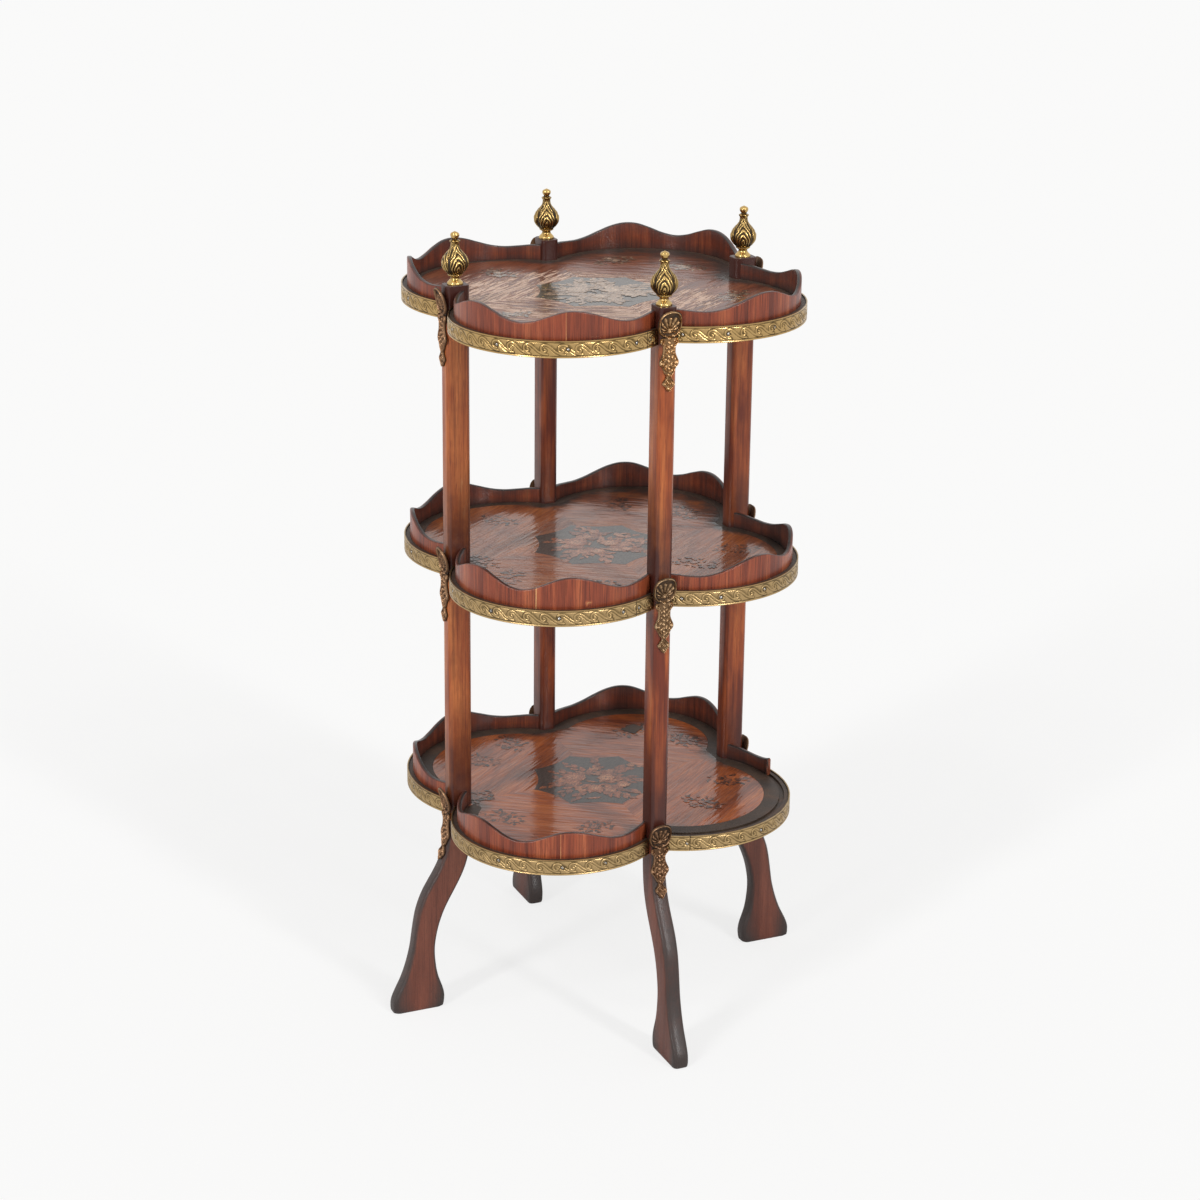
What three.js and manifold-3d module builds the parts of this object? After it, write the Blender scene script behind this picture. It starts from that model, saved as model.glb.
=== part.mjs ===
// A three-tier tray etagere: quatrefoil shelves with wavy galleries, four posts, splayed legs and brass trim.
// Millimetres, +Z up. The origin is on the floor under the middle of the shelves, and the X and Y axes run
// through the middles of the lobes.
import * as THREE from "three";
import { mergeVertices } from "three/addons/utils/BufferGeometryUtils.js";
import Module from "manifold-3d";

const wasm = await Module();
wasm.setup();

// Heights of the whole
const legHeight = 208.4; // floor to the underside of the lowest shelf
const lowerBay = 257.9; // underside to underside, lowest to middle shelf
const upperBay = 261.4; // underside to underside, middle to top shelf
const shelfThickness = 15;
const postRise = 36; // post top above the underside of the top shelf

// Plan of a shelf: two lobes on the X axis and two on the Y axis, measured to the face of the brass band
const endLobeRadius = 116.2;
const endLobeCentre = 89.5;
const sideLobeRadius = 106.6;
const sideLobeCentre = 110.5;
const lobeSteps = 22; // facets along one lobe

// Fits
const seatGap = 0.3; // between pieces that touch on the real object
const cutOverrun = 1; // how far a cutter runs past the face that it opens

// Brass band round the shelf edge
const bandHeight = 16;
const bandThickness = 1.6;

// Gallery: a bent veneered rim that stands in a groove near the shelf edge
const galleryInset = 6.2; // band face to gallery face
const galleryThickness = 4.5;
const grooveDepth = 2;
const galleryLow = 15; // height above the shelf at the middle of a lobe
const galleryPeak = 27; // at the two crests
const galleryValley = 13.4; // at the two hollows beside the crests
const galleryEnd = 16; // where it meets a post
const tallGalleryShare = 1.15; // the front gallery of the middle shelf stands higher than the others
const crestShare = 0.33; // crest's place between the middle of a lobe and the post
const valleyShare = 0.74;
const stubShare = 0.58; // where the broken stub of the lower right gallery ends

// Inner field of veneer, let into the shelf. It is widest on the top shelf, and its corners are straight
// edges that pass close to the posts.
const lowerFieldInset = 27;
const middleFieldInset = 21;
const topFieldInset = 17;
const fieldGalleryGap = 2; // from a straight corner edge to the nearest point of the galleries
const veneerThickness = 1.2;

// Post: a chamfered section with its wide sides along the diagonal
const postDepth = 24; // along the diagonal
const postWidth = 18;
const postChamfer = 3;
const housingDepth = 5; // how far a shelf corner enters the post

// Leg: an S shape sawn from a board that stands in the diagonal plane
const legThickness = 16.5;
const legWidth = 24; // at the top, along the diagonal
const legThrow = 47.4; // post axis to the middle of the sole
const soleWidth = 56; // widest part of the foot
const legEdge = 2.4; // flat on each long edge
// From the sole up: height as a share of legHeight, centre as a share of legThrow, and width as a share of
// the way from legWidth to soleWidth
const legStationShares = [
  [0, 1, 0.8],
  [0.014, 1, 0.97],
  [0.05, 0.99, 1],
  [0.1, 0.97, 0.84],
  [0.17, 0.945, 0.46],
  [0.25, 0.91, 0.18],
  [0.34, 0.865, 0.02],
  [0.43, 0.8, 0.04],
  [0.53, 0.68, 0.15],
  [0.63, 0.475, 0.25],
  [0.72, 0.255, 0.2],
  [0.81, 0.1, 0.1],
  [0.91, 0.02, 0.02],
  [1, 0, 0],
];
const legSmoothing = 2; // rows modelled for each row of the table
const dowelRadius = 4;
const dowelLength = 36;

// Finial: a turned brass flame that screws into the post top
const finialHeight = 51.3;
const finialRadius = 13.2;
const studRadius = 3;
const studLength = 12;
const finialSteps = 12;
const boreSteps = 12;
// From the foot up: height as a share of finialHeight and radius as a share of finialRadius
const finialProfileShares = [
  [0, 0.6],
  [0.03, 0.58],
  [0.06, 0.48],
  [0.105, 0.34],
  [0.145, 0.38],
  [0.165, 0.52],
  [0.195, 0.57],
  [0.25, 0.77],
  [0.33, 0.96],
  [0.41, 1],
  [0.505, 0.89],
  [0.58, 0.69],
  [0.65, 0.44],
  [0.71, 0.33],
  [0.78, 0.31],
  [0.825, 0.37],
  [0.85, 0.21],
  [0.885, 0.28],
  [0.93, 0.33],
  [0.975, 0.23],
];

// Mount: a pressed brass cartouche and pendant on the outer face of a post, one at each shelf
const mountTop = 34; // above the underside of its shelf
const mountHeight = 78;
const mountWidth = 24.4;
const mountEdge = 1; // thickness at the rim
const mountCrown = 2.4; // how far the middle stands out past the rim
const mountLean = 6; // how far the top of the cartouche curls away from the post
const leanShare = 0.33; // share of the height that curls
// From the top down: height as a share of mountHeight and half width as a share of mountWidth
const mountOutlineShares = [
  [0, 0.15],
  [0.035, 0.34],
  [0.09, 0.46],
  [0.17, 0.5],
  [0.26, 0.41],
  [0.33, 0.29],
  [0.39, 0.41],
  [0.47, 0.24],
  [0.56, 0.3],
  [0.635, 0.4],
  [0.71, 0.28],
  [0.78, 0.24],
  [0.83, 0.1],
  [0.9, 0.24],
  [0.95, 0.2],
  [1, 0.06],
];

// Colours and finishes
const mahogany = { color: 0x6b3525, roughness: 0.38, metalness: 0 };
const veneer = { color: 0x7e3a26, roughness: 0.35, metalness: 0 };
const ebonised = { color: 0x2c2420, roughness: 0.42, metalness: 0 };
const marquetry = { color: 0x94604a, roughness: 0.4, metalness: 0 };
const gilt = { color: 0xa98b46, roughness: 0.36, metalness: 0.95 };
const bronze = { color: 0x8a6238, roughness: 0.45, metalness: 0.9 };
const beech = { color: 0xb99a6b, roughness: 0.7, metalness: 0 };

// Places worked out from the sizes
const shelves = [
  { name: "lower", z: legHeight, fieldInset: lowerFieldInset },
  { name: "middle", z: legHeight + lowerBay, fieldInset: middleFieldInset },
  { name: "top", z: legHeight + lowerBay + upperBay, fieldInset: topFieldInset },
];
const postTop = shelves[2].z + postRise;

// Where an end lobe and a side lobe cross in the +X +Y quarter, both drawn in by an inset
function crossing(inset) {
  const r1 = endLobeRadius - inset;
  const r2 = sideLobeRadius - inset;
  const apart = Math.hypot(endLobeCentre, sideLobeCentre);
  const along = (r1 * r1 - r2 * r2 + apart * apart) / (2 * apart);
  const across = Math.sqrt(r1 * r1 - along * along);
  const ux = -endLobeCentre / apart;
  const uy = sideLobeCentre / apart;
  return new THREE.Vector2(endLobeCentre + along * ux + across * uy, along * uy - across * ux);
}
const postAxis = crossing(0);

const corners = [
  { name: "front_left", sx: -1, sy: -1 },
  { name: "front_right", sx: 1, sy: -1 },
  { name: "back_right", sx: 1, sy: 1 },
  { name: "back_left", sx: -1, sy: 1 },
];
for (const c of corners) {
  c.x = c.sx * postAxis.x;
  c.y = c.sy * postAxis.y;
  c.turn = Math.atan2(c.sy, c.sx); // heading of the outward diagonal
}

// Each lobe: its centre, its radius, the heading of its middle, and half the angle that it spans
const endSpan = Math.atan2(postAxis.y, postAxis.x - endLobeCentre);
const sideSpan = Math.atan2(postAxis.x, postAxis.y - sideLobeCentre);
const endLobe = { onSide: false, radius: endLobeRadius, span: endSpan };
const sideLobe = { onSide: true, radius: sideLobeRadius, span: sideSpan };
const lobes = [
  { ...sideLobe, name: "front", x: 0, y: -sideLobeCentre, heading: -Math.PI / 2 },
  { ...endLobe, name: "right", x: endLobeCentre, y: 0, heading: 0 },
  { ...sideLobe, name: "back", x: 0, y: sideLobeCentre, heading: Math.PI / 2 },
  { ...endLobe, name: "left", x: -endLobeCentre, y: 0, heading: Math.PI },
];

// Solid modelling helpers
function solidOf(geometry) {
  const bare = geometry.clone();
  bare.deleteAttribute("normal");
  bare.deleteAttribute("uv");
  const merged = mergeVertices(bare, seatGap / 1000);
  return new wasm.Manifold(
    new wasm.Mesh({
      numProp: 3,
      vertProperties: new Float32Array(merged.attributes.position.array),
      triVerts: new Uint32Array(merged.index.array),
    }),
  );
}

function geometryOf(solid) {
  const made = solid.getMesh();
  const count = made.numProp;
  const points = new Float32Array(made.numVert * 3);
  for (let i = 0; i < made.numVert; i++) {
    points.set(made.vertProperties.subarray(i * count, i * count + 3), i * 3);
  }
  const geometry = new THREE.BufferGeometry();
  geometry.setAttribute("position", new THREE.BufferAttribute(points, 3));
  geometry.setIndex(new THREE.BufferAttribute(new Uint32Array(made.triVerts), 1));
  return geometry;
}

function cut(geometry, cutters) {
  let solid = solidOf(geometry);
  for (const cutter of cutters) solid = solid.subtract(solidOf(cutter));
  return geometryOf(solid);
}

// A closed skin over a row of rings with equal point counts. The rings turn anticlockwise seen from the end
// towards which the row runs.
function loft(rings) {
  const n = rings[0].length;
  const points = rings.flat();
  const faces = [];
  for (let j = 0; j + 1 < rings.length; j++) {
    for (let i = 0; i < n; i++) {
      const a = j * n + i;
      const b = j * n + ((i + 1) % n);
      faces.push(a, b, b + n, a, b + n, a + n);
    }
  }
  const last = (rings.length - 1) * n;
  for (let i = 1; i + 1 < n; i++) {
    faces.push(0, i + 1, i);
    faces.push(last, last + i, last + i + 1);
  }
  return new THREE.BufferGeometry().setFromPoints(points).setIndex(faces);
}

// A wall along a lobe between two insets, from one share of the half span to another. Its top may vary with
// the share along the lobe.
function lobeWall(lobe, outerInset, innerInset, bottom, topAt, from = -1, to = 1) {
  const steps = Math.max(2, Math.round((lobeSteps * (to - from)) / 2));
  const rings = [];
  for (let j = 0; j <= steps; j++) {
    const share = from + ((to - from) * j) / steps;
    const angle = lobe.heading + share * lobe.span;
    const at = (inset, z) =>
      new THREE.Vector3(
        lobe.x + (lobe.radius - inset) * Math.cos(angle),
        lobe.y + (lobe.radius - inset) * Math.sin(angle),
        z,
      );
    const top = topAt(share);
    rings.push([at(outerInset, bottom), at(innerInset, bottom), at(innerInset, top), at(outerInset, top)]);
  }
  return loft(rings);
}

// The shelf outline drawn in by an inset: four arcs that meet in notches at the posts
function shelfShape(inset) {
  const corner = crossing(inset);
  const end = Math.atan2(corner.y, corner.x - endLobeCentre);
  const side = Math.atan2(corner.x, corner.y - sideLobeCentre);
  const shape = new THREE.Shape();
  for (const lobe of lobes) {
    const span = lobe.onSide ? side : end;
    shape.absarc(lobe.x, lobe.y, lobe.radius - inset, lobe.heading - span, lobe.heading + span, false);
  }
  return shape;
}

// The outline of a field of veneer: arcs drawn in by an inset, and straight edges across the corners. Each
// edge is square to its diagonal and passes the nearest point of the galleries.
function fieldShape(inset, grow) {
  const near = crossing(galleryInset + galleryThickness + fieldGalleryGap);
  const reach = (near.x + near.y) * Math.SQRT1_2 + grow;
  const shape = new THREE.Shape();
  for (const lobe of lobes) {
    const centre = lobe.onSide ? sideLobeCentre : endLobeCentre;
    const radius = lobe.radius - inset + grow;
    const span = Math.PI / 4 + Math.acos((reach - centre * Math.SQRT1_2) / radius);
    shape.absarc(lobe.x, lobe.y, radius, lobe.heading - span, lobe.heading + span, false);
  }
  return shape;
}

function slab(shape, bottom, top) {
  const geometry = new THREE.ExtrudeGeometry(shape, {
    depth: top - bottom,
    bevelEnabled: false,
    curveSegments: lobeSteps / 2,
  });
  return geometry.translate(0, 0, bottom);
}

// A cross section in a post's own axes: x outwards along the diagonal, y across it
function postShape(grow) {
  const a = postDepth / 2 + grow;
  const b = postWidth / 2 + grow;
  const shape = new THREE.Shape();
  shape.moveTo(a, -b + postChamfer);
  shape.lineTo(a, b - postChamfer);
  shape.lineTo(a - postChamfer, b);
  shape.lineTo(-a + postChamfer, b);
  shape.lineTo(-a, b - postChamfer);
  shape.lineTo(-a, -b + postChamfer);
  shape.lineTo(-a + postChamfer, -b);
  shape.lineTo(a - postChamfer, -b);
  shape.closePath();
  return shape;
}

function boxBetween(x0, x1, y0, y1, z0, z1) {
  const box = new THREE.BoxGeometry(x1 - x0, y1 - y0, z1 - z0);
  return box.translate((x0 + x1) / 2, (y0 + y1) / 2, (z0 + z1) / 2);
}

function upright(radius, bottom, top, steps) {
  const rod = new THREE.CylinderGeometry(radius, radius, top - bottom, steps);
  return rod.rotateX(Math.PI / 2).translate(0, 0, (top + bottom) / 2);
}

function toCorner(geometry, corner) {
  return geometry.rotateZ(corner.turn).translate(corner.x, corner.y, 0);
}

// Clearance cutters that shelves, bands and galleries share: the post itself, a little larger
function postEnvelopes(bottom, top) {
  return corners.map((corner) => toCorner(slab(postShape(seatGap), bottom, top), corner));
}

// Gallery height above the shelf at a share of the way from the middle of a lobe to a post
function galleryTop(share) {
  const s = Math.min(Math.abs(share), 1);
  const blend = (from, to, t) => from + ((to - from) * (1 - Math.cos(Math.PI * t))) / 2;
  const between = (a, b) => (s - a) / (b - a);
  if (s < crestShare) return blend(galleryLow, galleryPeak, between(0, crestShare));
  if (s < valleyShare) return blend(galleryPeak, galleryValley, between(crestShare, valleyShare));
  return blend(galleryValley, galleryEnd, between(valleyShare, 1));
}

// Shelf board: the quatrefoil slab with a groove for the galleries, a recess for the field of veneer, and
// corners cut to enter the post housings
const boardInset = bandThickness + seatGap;
const recessDepth = veneerThickness + seatGap;
function board(shelf) {
  const top = shelf.z + shelfThickness;
  const grooves = lobes.map((lobe) =>
    lobeWall(
      lobe,
      galleryInset - seatGap,
      galleryInset + galleryThickness + seatGap,
      top - grooveDepth,
      () => top + cutOverrun,
    ),
  );
  const recess = slab(fieldShape(shelf.fieldInset, seatGap), top - recessDepth, top + cutOverrun);
  const notches = corners.map((corner) => {
    const reach = postDepth + postWidth;
    const inner = -postDepth / 2 + housingDepth;
    const half = postWidth / 2 + seatGap;
    const notch = boxBetween(inner, reach, -half, half, shelf.z - cutOverrun, top + cutOverrun);
    return toCorner(notch, corner);
  });
  return cut(slab(shelfShape(boardInset), shelf.z, top), [...grooves, recess, ...notches]);
}

function field(shelf) {
  const top = shelf.z + shelfThickness;
  return slab(fieldShape(shelf.fieldInset, 0), top - veneerThickness, top);
}

function band(shelf, lobe) {
  const wall = lobeWall(lobe, 0, bandThickness, shelf.z, () => shelf.z + bandHeight);
  return cut(wall, postEnvelopes(shelf.z - cutOverrun, shelf.z + bandHeight + cutOverrun));
}

function gallery(shelf, lobe, from, to) {
  const top = shelf.z + shelfThickness;
  const rise = shelf.name === "middle" && lobe.name === "front" ? tallGalleryShare : 1;
  const wall = lobeWall(
    lobe,
    galleryInset,
    galleryInset + galleryThickness,
    top - grooveDepth + seatGap,
    (share) => top + rise * galleryTop(share),
    from,
    to,
  );
  return cut(wall, postEnvelopes(top - grooveDepth - cutOverrun, top + 2 * galleryPeak));
}

// Post: one length from the leg to the finial, housed for each shelf and bored for the dowel and the stud
function post() {
  const bottom = legHeight;
  const inner = -postDepth / 2;
  const housings = shelves.map((shelf) =>
    boxBetween(
      inner - cutOverrun,
      inner + housingDepth + seatGap,
      -postWidth,
      postWidth,
      shelf.z - seatGap,
      shelf.z + shelfThickness + seatGap,
    ),
  );
  const dowelEnd = bottom + dowelLength / 2 + seatGap;
  const dowelBore = upright(dowelRadius + seatGap, bottom - cutOverrun, dowelEnd, boreSteps);
  const studEnd = postTop - studLength - seatGap;
  const studBore = upright(studRadius + seatGap, studEnd, postTop + cutOverrun, boreSteps);
  return cut(slab(postShape(0), bottom, postTop), [...housings, dowelBore, studBore]);
}

// The row of stations from sole to top, smoothed: each is a height, a centre outwards and a half width
function legRows() {
  const table = legStationShares.map((row) => new THREE.Vector3(...row));
  const curve = new THREE.CatmullRomCurve3(table, false, "centripetal");
  return curve.getPoints(legSmoothing * (table.length - 1)).map((p) => ({
    z: (legHeight - seatGap) * p.x,
    centre: legThrow * p.y,
    half: (legWidth + (soleWidth - legWidth) * p.z) / 2,
  }));
}

function leg() {
  const b = legThickness / 2;
  const e = legEdge;
  const rings = legRows().map(({ z, centre, half }) => {
    const upper = [
      [half, b - e],
      [half - e, b],
      [e - half, b],
      [-half, b - e],
    ];
    const around = [...upper, ...upper.map(([x, y]) => [-x, -y])];
    return around.map(([x, y]) => new THREE.Vector3(centre + x, y, z));
  });
  const bore = upright(
    dowelRadius + seatGap,
    legHeight - dowelLength / 2 - seatGap,
    legHeight + cutOverrun,
    boreSteps,
  );
  return cut(loft(rings), [bore]);
}

function dowel() {
  return upright(dowelRadius, legHeight - dowelLength / 2, legHeight + dowelLength / 2, boreSteps);
}

function finial() {
  const foot = postTop + seatGap;
  const tall = finialHeight - seatGap;
  const turned = finialProfileShares.map(
    ([height, radius]) => new THREE.Vector2(finialRadius * radius, foot + tall * height),
  );
  const profile = [
    new THREE.Vector2(0, foot - studLength),
    new THREE.Vector2(studRadius, foot - studLength),
    new THREE.Vector2(studRadius, foot),
    ...turned,
    new THREE.Vector2(0, foot + tall),
  ];
  return new THREE.LatheGeometry(profile, finialSteps).rotateX(Math.PI / 2);
}

// How far out from the post axis the wood reaches at a height: the post, or the leg below the lowest shelf
function woodReach(z) {
  if (z >= legHeight - seatGap) return postDepth / 2;
  const rows = legRows();
  const i = rows.findIndex((row) => row.z >= z);
  const reach = (row) => row.centre + row.half;
  const share = (z - rows[i - 1].z) / (rows[i].z - rows[i - 1].z);
  return reach(rows[i - 1]) + (reach(rows[i]) - reach(rows[i - 1])) * share;
}

// Mount: rings with a flat back and a crowned front, from the tip of the pendant up to the cartouche's top
function mount(shelf) {
  const rings = mountOutlineShares.map(([down, width]) => {
    const z = shelf.z + mountTop - mountHeight * down;
    const half = mountWidth * width;
    const curl = mountLean * Math.max(0, 1 - down / leanShare) ** 2;
    const back = woodReach(z) + seatGap + curl;
    const at = (y, out) => new THREE.Vector3(back + out, y, z);
    return [
      at(half, 0),
      at(-half, 0),
      at(-half, mountEdge),
      at(0, mountEdge + mountCrown),
      at(half, mountEdge),
    ];
  });
  return loft(rings.reverse());
}

const etagere = new THREE.Group();
function add(name, geometry, finish) {
  const mesh = new THREE.Mesh(geometry, new THREE.MeshStandardMaterial(finish));
  mesh.name = name;
  etagere.add(mesh);
}

for (const shelf of shelves) {
  add(`${shelf.name}_shelf_board`, board(shelf), ebonised);
  add(`${shelf.name}_shelf_field`, field(shelf), marquetry);
  for (const lobe of lobes) {
    const broken = shelf.name === "lower" && lobe.name === "right";
    add(`${shelf.name}_${lobe.name}_band`, band(shelf, lobe), gilt);
    add(`${shelf.name}_${lobe.name}_gallery`, gallery(shelf, lobe, broken ? stubShare : -1, 1), veneer);
  }
  for (const corner of corners) {
    add(`${shelf.name}_${corner.name}_mount`, toCorner(mount(shelf), corner), bronze);
  }
}
for (const corner of corners) {
  add(`${corner.name}_post`, toCorner(post(), corner), mahogany);
  add(`${corner.name}_leg`, toCorner(leg(), corner), mahogany);
  add(`${corner.name}_leg_dowel`, toCorner(dowel(), corner), beech);
  add(`${corner.name}_finial`, toCorner(finial(), corner), gilt);
}

export default etagere;
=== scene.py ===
# %% [markdown]
# # A tray etagere with marquetry shelves and brass mounts
#
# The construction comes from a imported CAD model: three quatrefoil shelves, four posts, four splayed legs,
# twelve wavy galleries and the plain blanks of the brass work. This lesson dresses it. Wood gets its grain
# and varnish, the brass blanks become pressed and cast ornament, and the shelf tops get their inlay.
#
# Every new surface is worked out with numpy as a grid of points, a function of two parameters, and then
# put into a mesh in one go. Sizes are read from the CAD nodes wherever they can be, so that the dress fits.

import math
from collections import namedtuple
from functools import partialmethod

import bmesh
import bpy
import numpy as np
from mathutils import Matrix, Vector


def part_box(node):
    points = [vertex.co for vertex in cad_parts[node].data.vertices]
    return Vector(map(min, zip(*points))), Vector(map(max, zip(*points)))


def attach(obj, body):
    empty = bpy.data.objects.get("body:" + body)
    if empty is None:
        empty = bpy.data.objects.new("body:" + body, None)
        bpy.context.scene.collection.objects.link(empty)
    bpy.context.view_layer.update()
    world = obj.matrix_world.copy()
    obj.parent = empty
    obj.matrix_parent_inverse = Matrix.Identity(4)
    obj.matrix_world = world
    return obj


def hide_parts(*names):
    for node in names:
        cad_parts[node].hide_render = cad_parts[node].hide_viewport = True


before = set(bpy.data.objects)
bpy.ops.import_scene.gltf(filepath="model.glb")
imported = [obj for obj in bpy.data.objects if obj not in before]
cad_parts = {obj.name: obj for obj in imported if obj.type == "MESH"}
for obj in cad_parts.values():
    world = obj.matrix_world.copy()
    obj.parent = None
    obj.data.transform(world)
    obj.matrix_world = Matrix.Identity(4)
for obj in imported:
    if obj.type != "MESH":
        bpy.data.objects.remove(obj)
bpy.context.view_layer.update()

# %% [markdown]
# ## The camera
#
# The photograph looks down on the piece from the front right with a long lens. The camera is described as a
# photographer would: where it stands, which way it faces, how far it tips down and how much it rolls. Its
# matrix is built from those angles, because that is exact and easy to read back.

# %% Camera
SENSOR = 0.036
PHOTO_WIDTH = 1200
FOCAL_PIXELS = 2832.7
CAMERA_PLACE = (0.9843, -2.5455, 1.3764)
CAMERA_TURN = math.radians(21.111)
CAMERA_TIP = math.radians(19.304)
CAMERA_ROLL = math.radians(0.642)


def camera_axes(turn, tip, roll):
    """Right, up and forward of a camera that faces +Y before it turns left, tips down and rolls."""
    right = np.array([math.cos(turn), math.sin(turn), 0.0])
    forward = np.array([-math.sin(turn) * math.cos(tip), math.cos(turn) * math.cos(tip), -math.sin(tip)])
    up = np.cross(right, forward)
    rolled_right = math.cos(roll) * right + math.sin(roll) * up
    rolled_up = math.cos(roll) * up - math.sin(roll) * right
    return rolled_right, rolled_up, forward


def add_object(name, data):
    made = bpy.data.objects.new(name, data)
    bpy.context.scene.collection.objects.link(made)
    return made


def placed(right, up, back, place):
    """The matrix of something at a place, with its X, Y and Z axes along right, up and back."""
    return Matrix(np.vstack([np.column_stack([right, up, back, place]), [0, 0, 0, 1]]).tolist())


camera_right, camera_up, camera_forward = camera_axes(CAMERA_TURN, CAMERA_TIP, CAMERA_ROLL)
lens = bpy.data.cameras.new("camera")
lens.sensor_fit = "HORIZONTAL"
lens.sensor_width = SENSOR * 1000
lens.lens = FOCAL_PIXELS / PHOTO_WIDTH * SENSOR * 1000
camera = add_object("camera", lens)
camera.matrix_world = placed(camera_right, camera_up, -camera_forward, CAMERA_PLACE)
bpy.context.scene.camera = camera
print("lens", round(lens.lens, 2), "mm")

# %% [markdown]
# ## Reading the CAD model
#
# A node's vertices say where it is. Each shelf is four arcs, two on the X axis and two on the Y axis, and
# each corner is a post on the diagonal. From these two facts every ornament can be placed: by its share of
# the way along a lobe, or by its distance out from, across and up a post.

# %% Lobes and corners
MM = 0.001
TAU = 2 * np.pi
END_LOBE_RADIUS = 116.2 * MM
SIDE_LOBE_RADIUS = 106.6 * MM
SHELVES = ("lower", "middle", "top")
CORNER_SIGNS = {"front_left": (-1, -1), "front_right": (1, -1), "back_right": (1, 1), "back_left": (-1, 1)}

Lobe = namedtuple("Lobe", "x y radius heading span")
Corner = namedtuple("Corner", "x y turn")


def cad_points(node):
    """The vertices of a CAD node, as rows of x, y, z."""
    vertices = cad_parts[node].data.vertices
    points = np.empty(len(vertices) * 3)
    vertices.foreach_get("co", points)
    return points.reshape(-1, 3)


def corner_at(name):
    low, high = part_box(f"{name}_leg_dowel")
    along_x, along_y = CORNER_SIGNS[name]
    return Corner((low.x + high.x) / 2, (low.y + high.y) / 2, math.atan2(along_y, along_x))


CORNERS = {name: corner_at(name) for name in CORNER_SIGNS}
post_x, post_y = CORNERS["back_right"].x, CORNERS["back_right"].y
end_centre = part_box("lower_right_band")[1].x - END_LOBE_RADIUS
side_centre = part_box("lower_back_band")[1].y - SIDE_LOBE_RADIUS
end_span = math.atan2(post_y, post_x - end_centre)
side_span = math.atan2(post_x, post_y - side_centre)
LOBES = {
    "front": Lobe(0, -side_centre, SIDE_LOBE_RADIUS, -math.pi / 2, side_span),
    "right": Lobe(end_centre, 0, END_LOBE_RADIUS, 0, end_span),
    "back": Lobe(0, side_centre, SIDE_LOBE_RADIUS, math.pi / 2, side_span),
    "left": Lobe(-end_centre, 0, END_LOBE_RADIUS, math.pi, end_span),
}
UNDERSIDE = {shelf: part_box(f"{shelf}_shelf_board")[0].z for shelf in SHELVES}
TABLE_TOP = {shelf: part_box(f"{shelf}_shelf_board")[1].z for shelf in SHELVES}
POST_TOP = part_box("front_left_post")[1].z
print("post axis", round(post_x, 4), round(post_y, 4), "shelf tops", TABLE_TOP)


# %% Placing points
SAME_LEVEL = 1e-5  # vertices closer in height than this, in metres, are one level


def points_at(x, y, z):
    """Grids of x, y and z as one grid of points."""
    return np.stack(np.broadcast_arrays(x, y, z), -1)


def on_lobe(lobe, share, inset):
    """x and y on a lobe. share runs from -1 to 1 between its posts, inset inwards from the band's face."""
    angle = lobe.heading + share * lobe.span
    distance = lobe.radius - inset
    return lobe.x + distance * np.cos(angle), lobe.y + distance * np.sin(angle)


def at_corner(corner, out, across, up):
    """Points from distances out along a corner's diagonal, across it and up."""
    x = corner.x + out * math.cos(corner.turn) - across * math.sin(corner.turn)
    y = corner.y + out * math.sin(corner.turn) + across * math.cos(corner.turn)
    return points_at(x, y, up)


def from_corner(corner, points):
    """The reverse: how far out, across and up a corner each point is."""
    x = points[:, 0] - corner.x
    y = points[:, 1] - corner.y
    out = x * math.cos(corner.turn) + y * math.sin(corner.turn)
    across = y * math.cos(corner.turn) - x * math.sin(corner.turn)
    return out, across, points[:, 2]


def by_level(up, reach):
    """The levels at which a CAD node has vertices, and the reaches of the vertices at each."""
    levels = np.unique(np.round(up, 5))
    return levels, [reach[np.abs(up - level) < SAME_LEVEL] for level in levels]


def smooth_through(at, knots, values):
    """A Catmull-Rom curve through the knots: each span is a cubic whose ends have the slopes of the chords
    between the neighbouring knots."""
    slopes = np.gradient(values, knots)
    span = np.clip(np.searchsorted(knots, at) - 1, 0, len(knots) - 2)
    width = knots[span + 1] - knots[span]
    t = np.clip((at - knots[span]) / width, 0, 1)
    rise = values[span] * (2 * t**3 - 3 * t**2 + 1) + values[span + 1] * (3 * t**2 - 2 * t**3)
    return rise + width * (slopes[span] * (t**3 - 2 * t**2 + t) + slopes[span + 1] * (t**3 - t**2))


def ease(value, low, high):
    """0 up to low, 1 from high, and an S curve between."""
    t = np.clip((value - low) / (high - low), 0, 1)
    return t * t * (3 - 2 * t)


def fall(distance, reach):
    """1 up to a distance of 0, and dying away after it."""
    return np.exp(-np.clip(distance, 0, None) / reach)


def line(distance, width):
    """1 along a narrow line where the distance is 0, falling off with the width."""
    return np.exp(-((distance / width) ** 2))


print("helpers for places and curves are ready")

# %% [markdown]
# ## From grids of points to meshes
#
# One helper makes every mesh. It takes one grid, or a stack of equal grids for a repeated shape, joins
# neighbouring points into quads, and closes the grid into a tube with flat ends or leaves it as a sheet.
# Values worked out at the points, such as the direction of the grain or the depth of a relief, go along as
# attributes, and the materials read them.

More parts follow.
